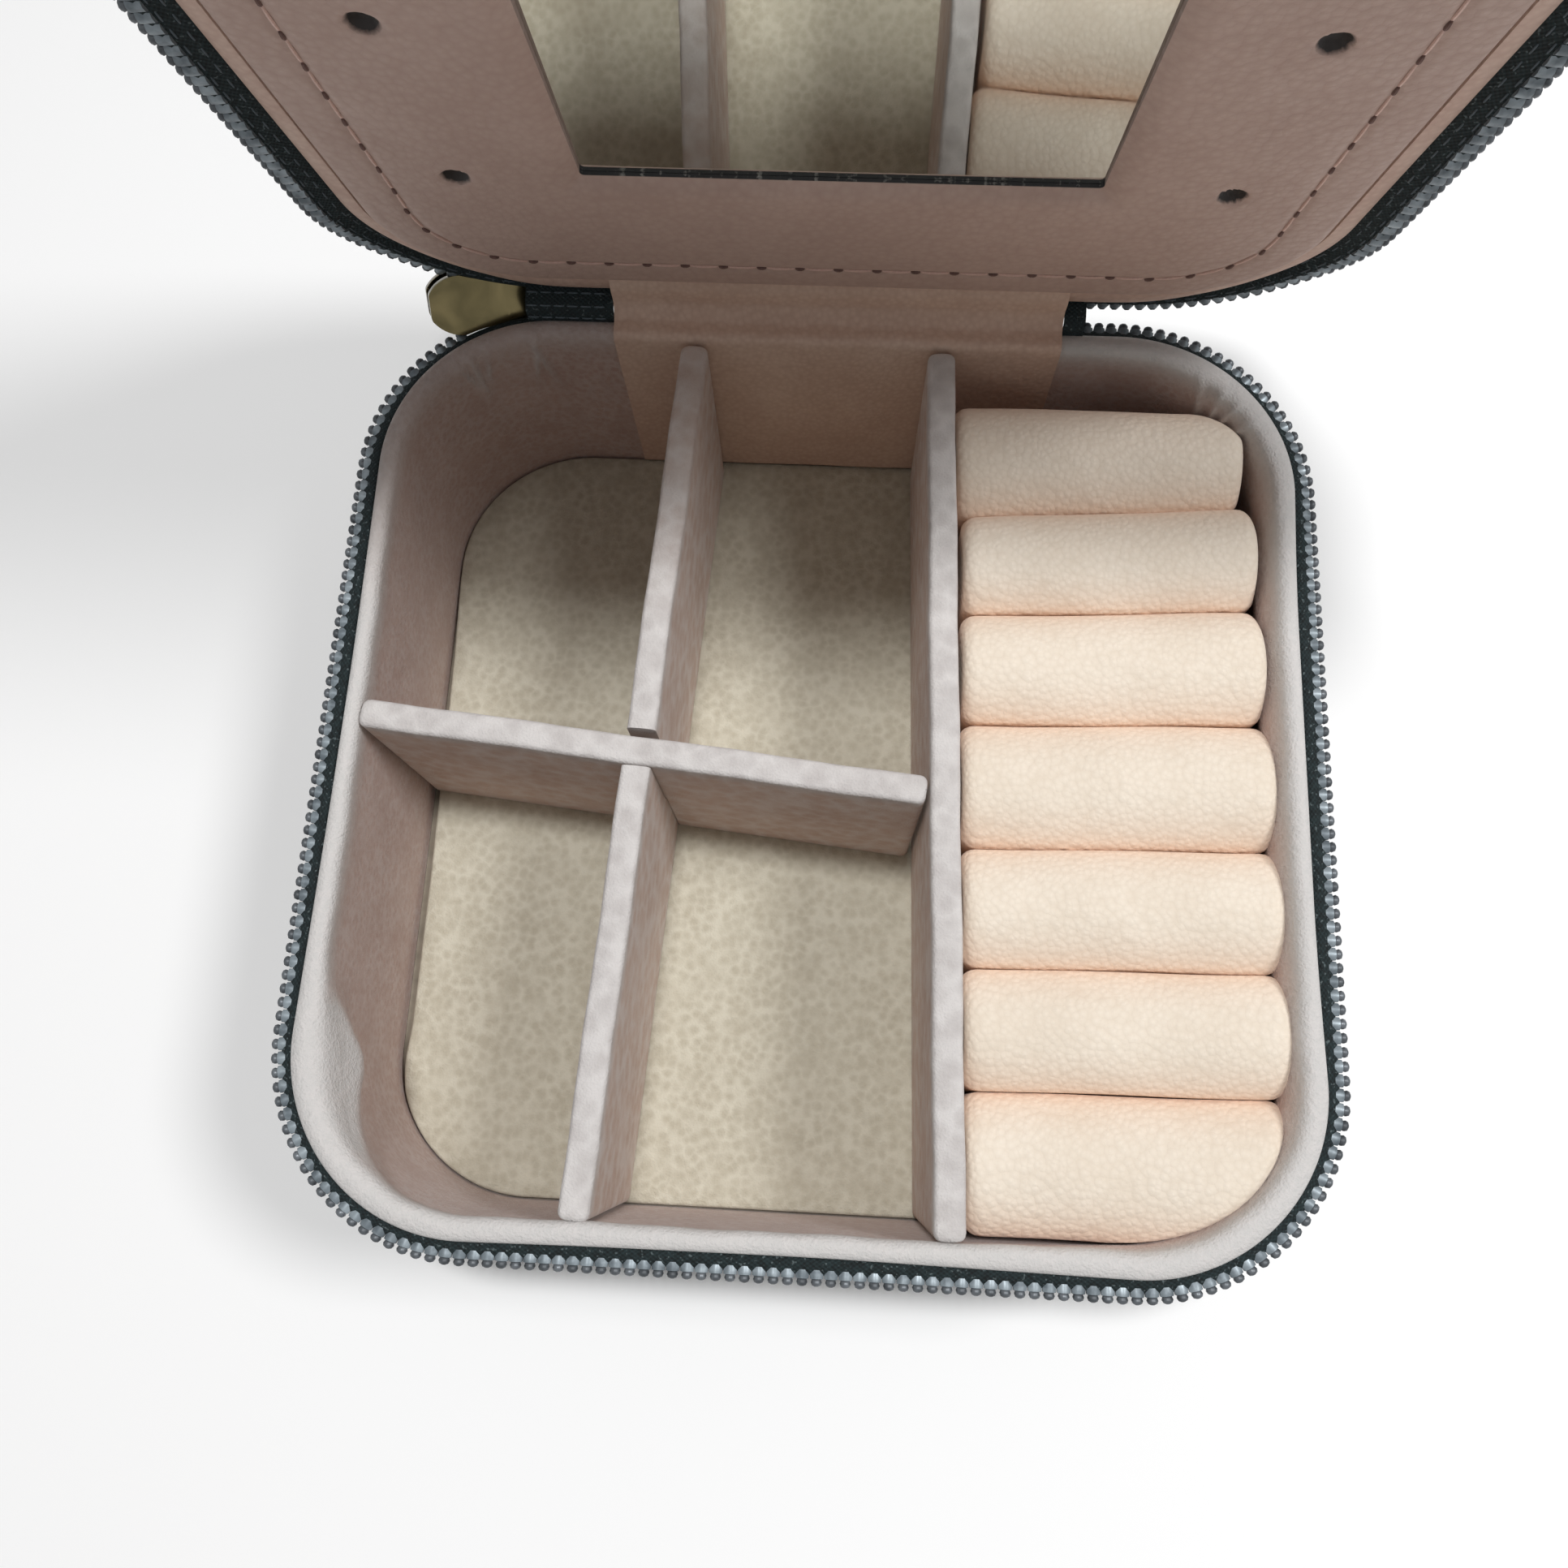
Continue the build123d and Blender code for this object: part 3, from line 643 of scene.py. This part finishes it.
def ring_roll(number):
    """A roll: an arch of upright sides and a half ellipse, pressed flat at both sides, carried along X.
    Close to both ends the arch shrinks along a quarter circle, and beyond that it closes to the middle of
    the end face. The grooves slant a little, most of all behind the second roll."""
    half = roll_widths[number - 1] / 2 - 0.05
    middle = roll_back - roll_widths[:number].sum() + roll_widths[number - 1] / 2
    turn = np.linspace(math.pi, 0, 37)
    arch_y = np.clip((half + pressed) * np.cos(turn), -half, half)
    arch_z = half * np.sin(turn) + roll_top - half
    side = np.linspace(foot, roll_top - half, 9)[:-1]
    loop_y = np.concatenate([np.full(8, -half), arch_y, np.full(8, half)])
    loop_z = np.concatenate([side, arch_z, side[::-1]])
    centre_z = roll_top - half
    soft = 1.5
    depth = np.array([0, 0, 0, 0, 0.1, 0.3, 0.6, 1.0, 1.5])
    shrunk = soft * 0.75 * (1 - np.sqrt(1 - np.clip(1 - depth / soft, 0, 1) ** 2))
    closing = np.array([0.02, 0.4, 0.75, 1, 1, 1, 1, 1, 1])
    share = np.linspace(0, 1, 46)[1:-1]
    inset = np.concatenate([shrunk, np.zeros(len(share)), shrunk[::-1]])[:, None]
    scale = np.concatenate([closing, np.ones(len(share)), closing[::-1]])[:, None]
    y = loop_y * (1 - inset / half) * scale
    shrink = np.where(loop_z > centre_z, 1 - inset / half, 1)
    z = centre_z + (loop_z - centre_z) * shrink * scale
    left, right = roll_ends(middle + y, divider_gap[number - 1])
    if number == 1:
        past = np.clip(y - half + short_round, 0, short_round)
        right = np.minimum(right, short_end - short_round + np.sqrt(short_round ** 2 - past ** 2))
    right = right - wall_gap[number - 1]
    ends = len(depth)
    x = left + soft + (right - left - 2 * soft) * np.pad(share, ends)[:, None]
    x[:ends] = left[:ends] + depth[:, None]
    x[-ends:] = right[-ends:] - depth[::-1, None]
    crown = np.clip(loop_z - centre_z, 0, None) / half
    lumps = 0.12 * np.sin(x * 0.21 + number * 1.7) + 0.07 * np.sin(x * 0.55 + y * 0.4 + number)
    z = z + lumps * crown * (scale == 1) - 0.1
    y = y + middle + 0.05 * np.sin(x * 0.3 + number)
    slant = np.interp(y, [-45, -31, 5, 28, 41], [0, 0.018, 0.037, 0.072, 0])
    y = y + slant * (x - 29)
    # The crown value sets the painted light: 0 in the grooves, where the painted groove shade shows, rising
    # to 1 on top.
    paler = np.broadcast_to(np.clip(crown * 1.35 - 0.3, 0, 1) ** 0.8, z.shape)
    points = np.stack([x, y, z], -1)
    return build(f"roll_{number}", points, tube_faces(*z.shape), suede, values={"crown": paler}, smooth=60)


for number in range(1, len(roll_widths) + 1):
    dressed(ring_roll(number), "base", "roll_suede", f"ring_roll_{number}")


# Zip: a woven dark tape sewn in behind the skin's edge, and a row of metal teeth clamped on the tape's
# edge. The lid's tape lies wider open and shows two rows of pale stitches.

weave_group, enter, leave = new_group("tape_weave", {"Vector": "NodeSocketVector"}, ["Height", "Shade"])
flat_place = node(weave_group, "ShaderNodeSeparateXYZ", {0: enter[0]}).outputs
warp, weft = (
    math_node(weave_group, "SINE", math_node(weave_group, "MULTIPLY", across, 2 * math.pi / (pitch * mm)))
    for across, pitch in ((flat_place[0], 0.55), (flat_place[1], 0.42)))
knots = math_node(weave_group, "MULTIPLY", warp, weft)
speckle = noise(weave_group, enter[0], 1500.0, 3.0)
weave_group.links.new(math_node(weave_group, "MULTIPLY_ADD", knots, 0.5, 0.5), leave["Height"])
weave_group.links.new(math_node(weave_group, "MULTIPLY_ADD", knots, 0.2, speckle), leave["Shade"])
tape, tree, inputs = new_material("zip_tape", Roughness=0.8, Specular_ior_level=0.25)
place = own_place(tree, "UV")
weave = node(tree, "ShaderNodeGroup", {"Vector": place}, node_tree=weave_group).outputs
thread_colour = mix(tree, span(tree, weave["Shade"], 0.25, 0.8), srgb(9, 14, 15), srgb(34, 46, 48))
# Painted highlights: sparse pale flecks on the tape stand for glints on the weave.
flecks = span(tree, noise(tree, place, 2600.0, 1.0), 0.62, 0.72, 0.0, 0.5)
coloured(tree, inputs, flecks, thread_colour, srgb(112, 124, 126))
bumped(tree, inputs, weave["Height"], 0.06)
tape_start, teeth_start, zip_stop = 0.0916, 0.114, 0.9264
zip_rows = 720
zip_share = np.linspace(tape_start, zip_stop, zip_rows)
base_tape = np.array([
    [-0.88, 22.4], [-0.88, 25.0], [-0.88, 27.3], [-0.72, 27.52], [-0.2, 27.55], [0.1, 27.66], [0.16, 27.86],
    [0.1, 28.06], [-0.2, 28.25], [-0.7, 28.44], [-1.2, 28.46], [-1.5, 28.25], [-1.46, 27.6], [-1.36, 25.0],
    [-1.36, 22.4]])
lid_tape = np.array([
    [-2.6, 32.25], [-2.3, 31.88], [-1.8, 31.6], [-1.2, 31.3], [-0.7, 31.05], [-0.2, 30.86], [0.1, 30.92],
    [0.16, 31.1], [0.1, 31.28], [-0.25, 31.42], [-0.8, 31.75], [-0.88, 32.4], [-0.88, 35.0], [-0.88, 37.6],
    [-1.36, 37.6], [-1.36, 35.0], [-1.4, 32.9]])
tape_beside_hinge = np.array([
    [-2.85, 33.5], [-2.7, 33.1], [-2.0, 32.6], [-1.3, 32.1], [-0.7, 31.72], [-0.3, 31.76], [0.1, 31.92],
    [0.16, 32.1], [0.1, 32.28], [-0.25, 32.42], [-0.8, 32.62], [-0.88, 33.0], [-0.88, 35.0], [-0.88, 37.6],
    [-1.36, 37.6], [-1.36, 35.0], [-1.4, 33.7]])


def from_hinge(share, low, high):
    """How far a place of the outline is from the hinge, walked along it in millimetres: 0 up to the low
    length, 1 from the high length on, and a smooth step between."""
    ramp = np.clip((np.minimum(share, 1 - share) * walk_length - low) / (high - low), 0, 1)
    return ramp * ramp * (3 - 2 * ramp)


def clear_of_hinge(share):
    """0 beside the hinge and the slider, and 1 along the sides and the front."""
    return from_hinge(share, 46.0, 62.0)


def run_along(line):
    """How far each point of a line lies from its start, along the line."""
    return np.concatenate([[0], np.cumsum(np.linalg.norm(np.diff(line, axis=0), axis=1))])


lid_tape = tape_beside_hinge + (lid_tape - tape_beside_hinge) * clear_of_hinge(zip_share)[:, None, None]
for body, loop in (("base", base_tape), ("lid", lid_tape)):
    points = wall_points(loop, zip_share)
    across = run_along(points[zip_rows // 2])
    flat = np.stack(np.broadcast_arrays(zip_share[:, None] * walk_length, across), -1)
    points = opened(points) if body == "lid" else points
    made = build(f"{body}_tape", points, tube_faces(*points.shape[:2]), tape, uv=flat)
    dressed(made, body, "zip_tape", f"{body}_zip_tape")

pale_thread = speckled("zip_thread", srgb(40, 50, 56), srgb(84, 96, 104), scale=5000.0, rough=0.6)
stitch_pitch = 2.0
for row, (offset, height, back_height) in enumerate(((-1.75, 31.56, 32.41), (-0.95, 31.16, 31.87))):
    centre, along, out = seam_places(offset, height, stitch_pitch, tape_start, zip_stop)
    clear = clear_of_hinge(seam_shares(len(centre), tape_start, zip_stop))
    centre[:, 2] = back_height + (height - back_height) * clear
    seam = opened_seam(centre, along, out * -0.45 + np.array([0, 0, -0.89]))
    made = stitch_rows(
        f"lid_tape_stitches_{row + 1}", *seam, length=1.3, radius=0.09, material=pale_thread)
    dressed(made, "lid", "zip_tape")

metal, tree, inputs = new_material("zip_teeth", Metallic=0.35)
tarnish = noise(tree, own_place(tree), 650.0, 3.0)
grime = span(tree, tarnish, 0.35, 0.7)
head = painted(tree, "head")
neck_colour = mix(tree, grime, srgb(86, 95, 101), srgb(140, 150, 156))
head_colour = mix(tree, grime, srgb(58, 62, 66), srgb(100, 105, 110))
coloured(tree, inputs, head, neck_colour, head_colour)
roughened(tree, inputs, grime, 0.5, 0.34)
bumped(tree, inputs, tarnish, 0.02)
tooth_pitch, chain, lid_chain = 1.28, 27.9, 31.1
reach = np.array([-0.7, 0.1, 0.42, 0.5, 0.74, 0.98, 1.1])
girth = np.array([0.6, 0.62, 0.6, 0.42, 0.5, 0.4, 0.16])
tall = np.array([0.36, 0.47, 0.46, 0.36, 0.47, 0.38, 0.15])
darker = np.array([0, 0, 0.1, 1, 1, 1, 1])
sides = 8
ring = (np.arange(sides) + 0.5) * 2 * math.pi / sides
square = 1 / np.maximum(np.abs(np.cos(ring)), np.abs(np.sin(ring))) ** 0.6
tooth_side = girth[:, None] * np.cos(ring) * square
tooth_up = tall[:, None] * np.sin(ring) * square
centre, along, out = seam_places(0, chain, tooth_pitch, teeth_start, zip_stop)
teeth = (centre[:, None, None] + out[:, None, None] * reach[:, None, None]
         + along[:, None, None] * tooth_side[..., None] + np.array([0, 0, 1]) * tooth_up[..., None])
head_value = {"head": np.broadcast_to(darker[:, None], teeth.shape[:3])}
tooth_faces = copied_faces(len(centre), len(reach), sides)
made = build("base_teeth", teeth, tooth_faces, metal, values=head_value)
dressed(made, "base", "zip_teeth", "base_zip_teeth")
clear = clear_of_hinge(seam_shares(len(centre), teeth_start, zip_stop))
lid_level = 2 * parting - chain + (lid_chain - 2 * parting + chain) * clear
lid_teeth = teeth * [1, 1, -1]
lid_teeth[..., 2] += chain + lid_level[:, None, None]
lid_teeth = opened(lid_teeth)
made = build("lid_teeth", lid_teeth, flipped(tooth_faces), metal, values=head_value)
dressed(made, "lid", "zip_teeth", "lid_zip_teeth")


# Band round the inside of the lid: pink leatherette over thin foam. It lies a little lower than the panel
# and runs in under the tape, and near the hinge it rises level with the panel.

band_leather = leather(
    "band_leather", srgb(196, 166, 152), srgb(216, 190, 174), scale=1500.0, depth=0.05, rough=0.6,
    Specular_ior_level=0.35)
sloping = np.array([
    [-1.45, 47.9], [-1.45, 40.0], [-1.45, 34.0], [-1.6, 33.0], [-2.0, 32.35], [-2.4, 31.98], [-3.0, 31.78],
    [-3.6, 31.68], [-4.1, 31.7], [-4.3, 32.2], [-4.3, 40.0], [-4.3, 47.9]])
level_rim = np.array([
    [-1.45, 47.9], [-1.45, 40.0], [-1.45, 32.2], [-1.55, 31.6], [-1.9, 31.35], [-2.5, 31.3], [-3.2, 31.3],
    [-3.8, 31.35], [-4.2, 31.6], [-4.3, 32.2], [-4.3, 40.0], [-4.3, 47.9]])
lowered = from_hinge(ring_share, 27.0, 49.0)[:, None, None]
points = opened(wall_points(level_rim + (sloping - level_rim) * lowered, ring_share))
faces = flipped(grid_faces(ring_rows, len(sloping), True, True))
made = build("lid_band", points, faces, band_leather, smooth=60)
dressed(made, "lid", "band_leather", "lid_wall_lining")


# Panel of the lid: dusty pink leatherette over thin foam and dark card, with a stitched border, a square
# window for the mirror and three stud holes on each side.

panel_leather, tree, inputs = new_material("panel_leather", Specular_ior_level=0.35)
grain = grained(tree, 1250.0)
flat_place = node(tree, "ShaderNodeSeparateXYZ", {0: own_place(tree, "UV")}).outputs
stud_x, stud_pitch, stud_radius = 33.3, 21.7, 1.15
aside = math_node(tree, "SUBTRACT", math_node(tree, "ABSOLUTE", flat_place[0]), stud_x * mm)
from_middle = math_node(tree, "ABSOLUTE", flat_place[1])
from_outer = math_node(tree, "ABSOLUTE", math_node(tree, "SUBTRACT", from_middle, stud_pitch * mm))
nearest = math_node(tree, "MINIMUM", from_middle, from_outer)
away = math_node(tree, "SQRT", math_node(
    tree, "ADD", math_node(tree, "POWER", aside, 2.0), math_node(tree, "POWER", nearest, 2.0)))
ragged = noise(tree, own_place(tree), 1800.0)
away = math_node(tree, "MULTIPLY_ADD", ragged, 0.3 * mm, away)
hole = span(tree, away, (stud_radius + 0.05) * mm, (stud_radius + 0.35) * mm, 1.0, 0.0)
cut = painted(tree, "cut")
specks = noise(tree, own_place(tree), 1500.0, 4.0)
core = mix(tree, span(tree, specks, 0.58, 0.78), srgb(22, 21, 22), srgb(150, 146, 142))
skin_colour = mix(tree, grain["Shade"], srgb(178, 152, 141), srgb(191, 166, 155))
skin_colour = mix(tree, hole, skin_colour, srgb(30, 24, 22))
coloured(tree, inputs, cut, skin_colour, core)
roughened(tree, inputs, grain["Shade"], 0.66, 0.54)
bumped(tree, inputs, grain["Height"], 0.08)
panel_offset, panel_face, panel_back = -4.5, 30.8, 32.0
window_half, seam_inset = 22.6, 4.6
field_width, past_window = 16.0, 23.0
mirror_half, lean = 24.9, 0.55


def glass_front(y):
    """Height of the mirror's face, which leans back evenly from the hinge's side to the far edge."""
    return panel_back + 0.02 + lean * (mirror_half - y) / (2 * mirror_half)


panel_rows = 960
panel_share = np.arange(panel_rows) / panel_rows
border = np.array([
    0, 0.02, 0.12, 0.3, 0.6, 1.0, 1.5, 2.1, 2.8, 3.4, 3.8, 4.1, 4.35, 4.6, 4.85, 5.1, 5.4, 5.8, 6.4])
outline = wall_points(np.stack([panel_offset - border, np.zeros(len(border))], -1), panel_share)
window, _ = rounded_walk(panel_share, window_half, window_half, 0.4)
blend_in = np.linspace(0, 1, 34)[1:, None]
field = outline[:, -1:, :2] * (1 - blend_in) + window[:, None] * blend_in
plan = np.concatenate([outline[:, :1, :2], outline[..., :2], field, window[:, None], window[:, None]], 1)
inward = np.concatenate([[0], border, border[-1] + field_width * blend_in[:, 0], [past_window] * 2])
rolled = 1 - np.sqrt(1 - np.clip(1 - inward / 1.2, 0, 1) ** 2)
groove = 0.2 * bell(inward, seam_inset, 0.5)
pillow = 0.12 * np.sin(math.pi * np.clip((inward - seam_inset) / 17, 0, 1))
dip = 0.85 * np.clip((inward - border[-1] - 13.6) / 2.4, 0, 1) ** 2
height = panel_face + 1.0 * rolled + groove - pillow + dip
dimple = np.hypot(np.abs(plan[..., 0]) - stud_x, np.abs(np.abs(plan[..., 1]) - np.where(
    np.abs(plan[..., 1]) > stud_pitch / 2, stud_pitch, 0)))
height = height + 0.7 * np.clip((1.5 - dimple) / 0.7, 0, 1) ** 2
height[:, 0] = panel_back
height[:, -2] = panel_face + 0.9
height[:, -1] = glass_front(plan[:, -1, 1]) - 0.02
cut_edge = np.zeros(height.shape)
cut_edge[:, -2:] = np.where(plan[:, -2:, 1] > window_half - 0.6, 1.0, 0.45)
points = np.concatenate([plan, height[..., None]], -1)
faces = flipped(grid_faces(panel_rows, points.shape[1], True, True))
made = build("panel", opened(points), faces, panel_leather, uv=plan, values={"cut": cut_edge}, smooth=50)
dressed(made, "lid", "panel_leather", "lid_panel")

# Painted shade: the needle holes are small dark spindles coloured as the shade that falls in the holes.
hole_shade = speckled("needle_hole", srgb(84, 62, 57), srgb(124, 97, 90), scale=3000.0, rough=0.9)
panel_thread = speckled("panel_thread", srgb(196, 160, 148), srgb(226, 196, 184), scale=5000.0, rough=0.6)
panel_pitch = 3.8
centre, along, _ = seam_places(panel_offset - seam_inset, panel_face + 0.12, panel_pitch)
face = np.broadcast_to([0.0, 0.0, -1.0], centre.shape)
seam = opened_seam(centre, along, face)
made = stitch_rows("panel_stitches", *seam, length=3.1, radius=0.15, material=panel_thread)
dressed(made, "lid", "panel_leather")
seam = opened_seam(centre + along * panel_pitch / 2 + face * 0.02, along, face)
made = stitch_rows("panel_needle_holes", *seam, length=1.05, radius=0.18, material=hole_shade)
dressed(made, "lid", "panel_leather")


# Mirror: thin silvered glass in a card frame behind the window. It sits a little loose, so its far edge
# leans back from the panel, and it is a little smeared.

glass, tree, inputs = new_material("mirror_glass", Metallic=1.0)
smear = span(tree, noise(tree, own_place(tree), 60.0, 5.0, 1.5), 0.5, 0.75)
coloured(tree, inputs, smear, srgb(226, 228, 224), srgb(214, 214, 208))
roughened(tree, inputs, smear, 0.015, 0.06)
glass_back = 33.45
glass_edge, _ = rounded_walk(ring_share, mirror_half, mirror_half, 0.5)
glass_edge = glass_edge[:, None] * np.array([0.98, 1, 1, 0.99])[:, None]
front = glass_front(glass_edge[..., 1])
back = np.full(ring_rows, glass_back)
level = np.stack([back, back - 0.2, front[:, 2] + 0.15, front[:, 3]], -1)
points = opened(np.concatenate([glass_edge, level[..., None]], -1))
made = build("mirror_glass", points, flipped(cup_faces(*points.shape[:2])), glass, smooth=5)
dressed(made, "lid", "mirror_glass", "mirror")


# Hinge: a leatherette strip glued inside from the base's back wall to under the panel, a leather spine
# outside, and the sewn ends of the zip tape on both sides of the strip. All of them are drawn bent round
# the hinge, as they lie with the lid open.


def bent_line(corners, soft, count=140):
    """A bent line through the corners in the case's middle section, with the corners rounded by averaging
    over a length."""
    corners = np.array(corners, float)
    steps = run_along(corners)
    dense = np.linspace(-soft, steps[-1] + soft, 4000)
    line = np.stack([np.interp(dense, steps, corners[:, axis]) for axis in (0, 1)], -1)
    window = int(soft / (dense[1] - dense[0])) | 1
    kernel = np.hanning(window + 2)[1:-1]
    smooth = np.stack([np.convolve(line[:, axis], kernel / kernel.sum(), "same") for axis in (0, 1)], -1)
    keep = (dense >= 0) & (dense <= steps[-1])
    return smooth[keep][np.linspace(0, keep.sum() - 1, count).astype(int)]


def normals(line):
    """The direction square to a bent line at each of its points."""
    tangent = np.gradient(line, axis=0)
    tangent /= np.linalg.norm(tangent, axis=1)[:, None]
    return np.stack([-tangent[:, 1], tangent[:, 0]], -1)


def bent_sheet(name, line, thickness, x_low, x_high, material, ripple=0.0, rows=60):
    """A sheet of even thickness: a bent line, moved half the thickness to both sides along its normals, and
    drawn out along X. Ripples of two sines move the sheet along the normals."""
    normal = normals(line)
    steps = run_along(line)
    x = np.linspace(x_low, x_high, rows)
    wave = ripple * (np.sin(steps * 0.9 + 0.31 * x[:, None]) * np.sin(x[:, None] * 0.17 + 1)
                     + 0.5 * np.sin(x[:, None] * 0.43 + 0.6 * steps))
    near = line + normal * (wave + thickness / 2)[..., None]
    far = line + normal * (wave - thickness / 2)[..., None]
    loop = np.concatenate([near, far[:, ::-1]], 1)
    columns = loop.shape[1]
    points = np.concatenate([np.broadcast_to(x[:, None, None], loop.shape[:2] + (1,)), loop], -1)
    strip = np.arange(columns // 2 - 1)
    cap = np.stack([strip, strip + 1, columns - 2 - strip, columns - 1 - strip], -1)
    last = (rows - 1) * columns
    faces = grid_faces(rows, columns, loop_columns=True)
    faces += cap.tolist() + (cap + last)[:, ::-1].tolist()
    across, upwards = loop[0].T
    area = np.sum(across * np.roll(upwards, -1) - np.roll(across, -1) * upwards)
    faces = flipped(faces) if area > 0 else faces
    flat = np.stack(np.broadcast_arrays(x[:, None], np.concatenate([steps, steps[::-1]])), -1)
    return build(name, points, faces, material, uv=flat, smooth=60)


def on_open_lid(y, z):
    """A point of the shut lid's middle section where the lid stands open."""
    return opened(np.array([0.0, y, z]))[1:]


def bends(made, slot, start, end, *nodes):
    """The piece's placing is baked into its mesh, and it stands for the CAD nodes. The slot, start and end
    are not used.
    """
    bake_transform(made)
    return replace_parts(made, *nodes) if nodes else made


strip_leather = leather(
    "strip_leather", srgb(206, 176, 158), srgb(226, 200, 182), scale=1700.0, depth=0.06, rough=0.58,
    Specular_ior_level=0.4)
strip_width, strip_thick, spine_width = 47.6, 0.5, 48.0
strip_line = bent_line([
    [44.85, 3.6], [44.85, 29.75], [46.8, 29.75], on_open_lid(46.8, 30.4), on_open_lid(44.6, 30.7),
    on_open_lid(43.4, 31.7)], soft=3.0, count=180)
made = bent_sheet(
    "hinge_strip", strip_line, strip_thick, -strip_width / 2, strip_width / 2, strip_leather,
    ripple=0.035, rows=120)
bends(made, "band_leather", (46.4, 29.75), on_open_lid(46.6, 30.25), "hinge_lining_strip")

spine_line = bent_line([[48.65, 23.6], [48.65, 29.57], on_open_lid(48.65, 36.4)], soft=5.0)
made = bent_sheet(
    "leather_spine", spine_line, skin_thick, -spine_width / 2, spine_width / 2, skin, ripple=0.02)
bends(made, "outer_leather", (48.65, 27.4), on_open_lid(48.65, 32.6), "hinge_spine")

joint_line = bent_line([[47.1, 26.7], [47.1, 30.78], on_open_lid(47.1, 33.3)], soft=3.0, count=60)
joint_ends = (47.1, 28.6), on_open_lid(47.1, 31.4)
tape_thick = 0.5
for side, x_low, x_high in (("left", -33.3, -23.9), ("right", 23.9, 26.1)):
    made = bent_sheet(f"tape_end_{side}", joint_line, tape_thick, x_low, x_high, tape, rows=24)
    bends(made, "zip_tape", *joint_ends, f"zip_end_{side}")
joint_normal = normals(joint_line)
stitch_x = np.arange(-32.6, -24.4, 1.45)
for row, place in enumerate((22, 32, 42)):
    inward = np.array([0, *joint_normal[place]])
    spot = np.array([0, *joint_line[place]]) + inward * (tape_thick / 2 + 0.02)
    centre = spot + np.array([1.0, 0, 0]) * stitch_x[:, None]
    along, face = np.broadcast_to([1.0, 0, 0], centre.shape), np.broadcast_to(inward, centre.shape)
    made = stitch_rows(
        f"tape_end_stitches_{row + 1}", centre, along, face, length=1.3, radius=0.1, material=pale_thread)
    bends(made, "zip_tape", *joint_ends)


# Slider and its pull: stamped metal, plated like old brass, with worn, brighter edges. The slider's plates
# hold the two edges of the tape, and the pull swings on a pin outside.

brass, tree, inputs = new_material("slider_brass", Metallic=1.0)
scratches = noise(tree, own_place(tree), 260.0, 4.0, 0.4)
wear = span(tree, scratches, 0.35, 0.7)
coloured(tree, inputs, wear, srgb(82, 75, 53), srgb(108, 98, 70))
roughened(tree, inputs, wear, 0.24, 0.16)
bumped(tree, inputs, scratches, 0.006)
bright_brass, tree, inputs = new_material("worn_brass", Metallic=1.0)
polish = noise(tree, own_place(tree), 900.0, 3.0)
coloured(tree, inputs, polish, srgb(176, 156, 96), srgb(226, 208, 150))
roughened(tree, inputs, polish, 0.3, 0.18)
for part in ("slider_body", "slider_pull"):
    made = frame["nodes"][part]
    made.data.materials.clear()
    made.data.materials.append(brass)
    made.data.materials.append(bright_brass)
    weld = made.modifiers.new("joined", "WELD")
    weld.merge_threshold = 0.005 * mm
    bevel = made.modifiers.new("worn_edges", "BEVEL")
    bevel.width = 0.2 * mm
    bevel.segments = 3
    bevel.limit_method = "ANGLE"
    bevel.angle_limit = math.radians(40)
    bevel.material = 1


# Floor, light and camera: a white table, a soft light overhead and a weaker one from the right, and a
# camera above the front edge.

floor_white, tree, inputs = new_material("floor_white", Roughness=0.9)
haze = noise(tree, own_place(tree), 8.0)
coloured(tree, inputs, haze, (0.96, 0.96, 0.96, 1), (0.98, 0.98, 0.98, 1))
floor_reach, floor_level = 4000.0, -0.02
floor_square = np.array([[-1, -1, 0], [1, -1, 0], [1, 1, 0], [-1, 1, 0]])
floor_points = floor_square * floor_reach + [0, 0, floor_level]
build("floor", floor_points, [[0, 1, 2, 3]], floor_white)

world = bpy.data.worlds.new("studio")
bpy.context.scene.world = world
world.use_nodes = True
tree = world.node_tree
sky = tree.nodes["Background"]
ray = node(tree, "ShaderNodeLightPath").outputs
seen = math_node(tree, "MAXIMUM", ray["Is Camera Ray"], ray["Is Glossy Ray"])
seen = math_node(tree, "MAXIMUM", seen, ray["Is Transmission Ray"])
tree.links.new(span(tree, seen, 0.0, 1.0, 0.2, 1.0), sky.inputs["Strength"])
sky.inputs["Color"].default_value = (1, 1, 1, 1)

for lamp_name, watts, size, place in (
        ("overhead", 2.15, 0.08, (-0.02, 0.052, 0.65)), ("from_right", 1.7, 0.16, (0.34, 0.04, 0.55))):
    lamp = bpy.data.lights.new(lamp_name, "AREA")
    lamp.shape = "DISK"
    lamp.size = size
    lamp.energy = watts
    lamp_place = bpy.data.objects.new(lamp_name, lamp)
    lamp_place.location = place
    lamp_place.rotation_euler = Vector(place).to_track_quat("Z", "Y").to_euler()
    bpy.context.scene.collection.objects.link(lamp_place)

camera = bpy.data.cameras.new("camera")
camera.sensor_width = 36.0
camera.lens = 28.87
camera.clip_start = 0.001
camera_place = bpy.data.objects.new("camera", camera)
right, up, view = (0.99841, 0.05072, -0.02464), (-0.04291, 0.96691, 0.25150), (-0.03658, 0.25004, -0.96754)
camera_place.matrix_world = Matrix((
    (right[0], up[0], -view[0], 1.376 * mm),
    (right[1], up[1], -view[1], -34.192 * mm),
    (right[2], up[2], -view[2], 147.306 * mm),
    (0, 0, 0, 1),
))
bpy.context.scene.collection.objects.link(camera_place)
bpy.context.scene.camera = camera_place
bpy.context.scene.view_settings.view_transform = "Standard"
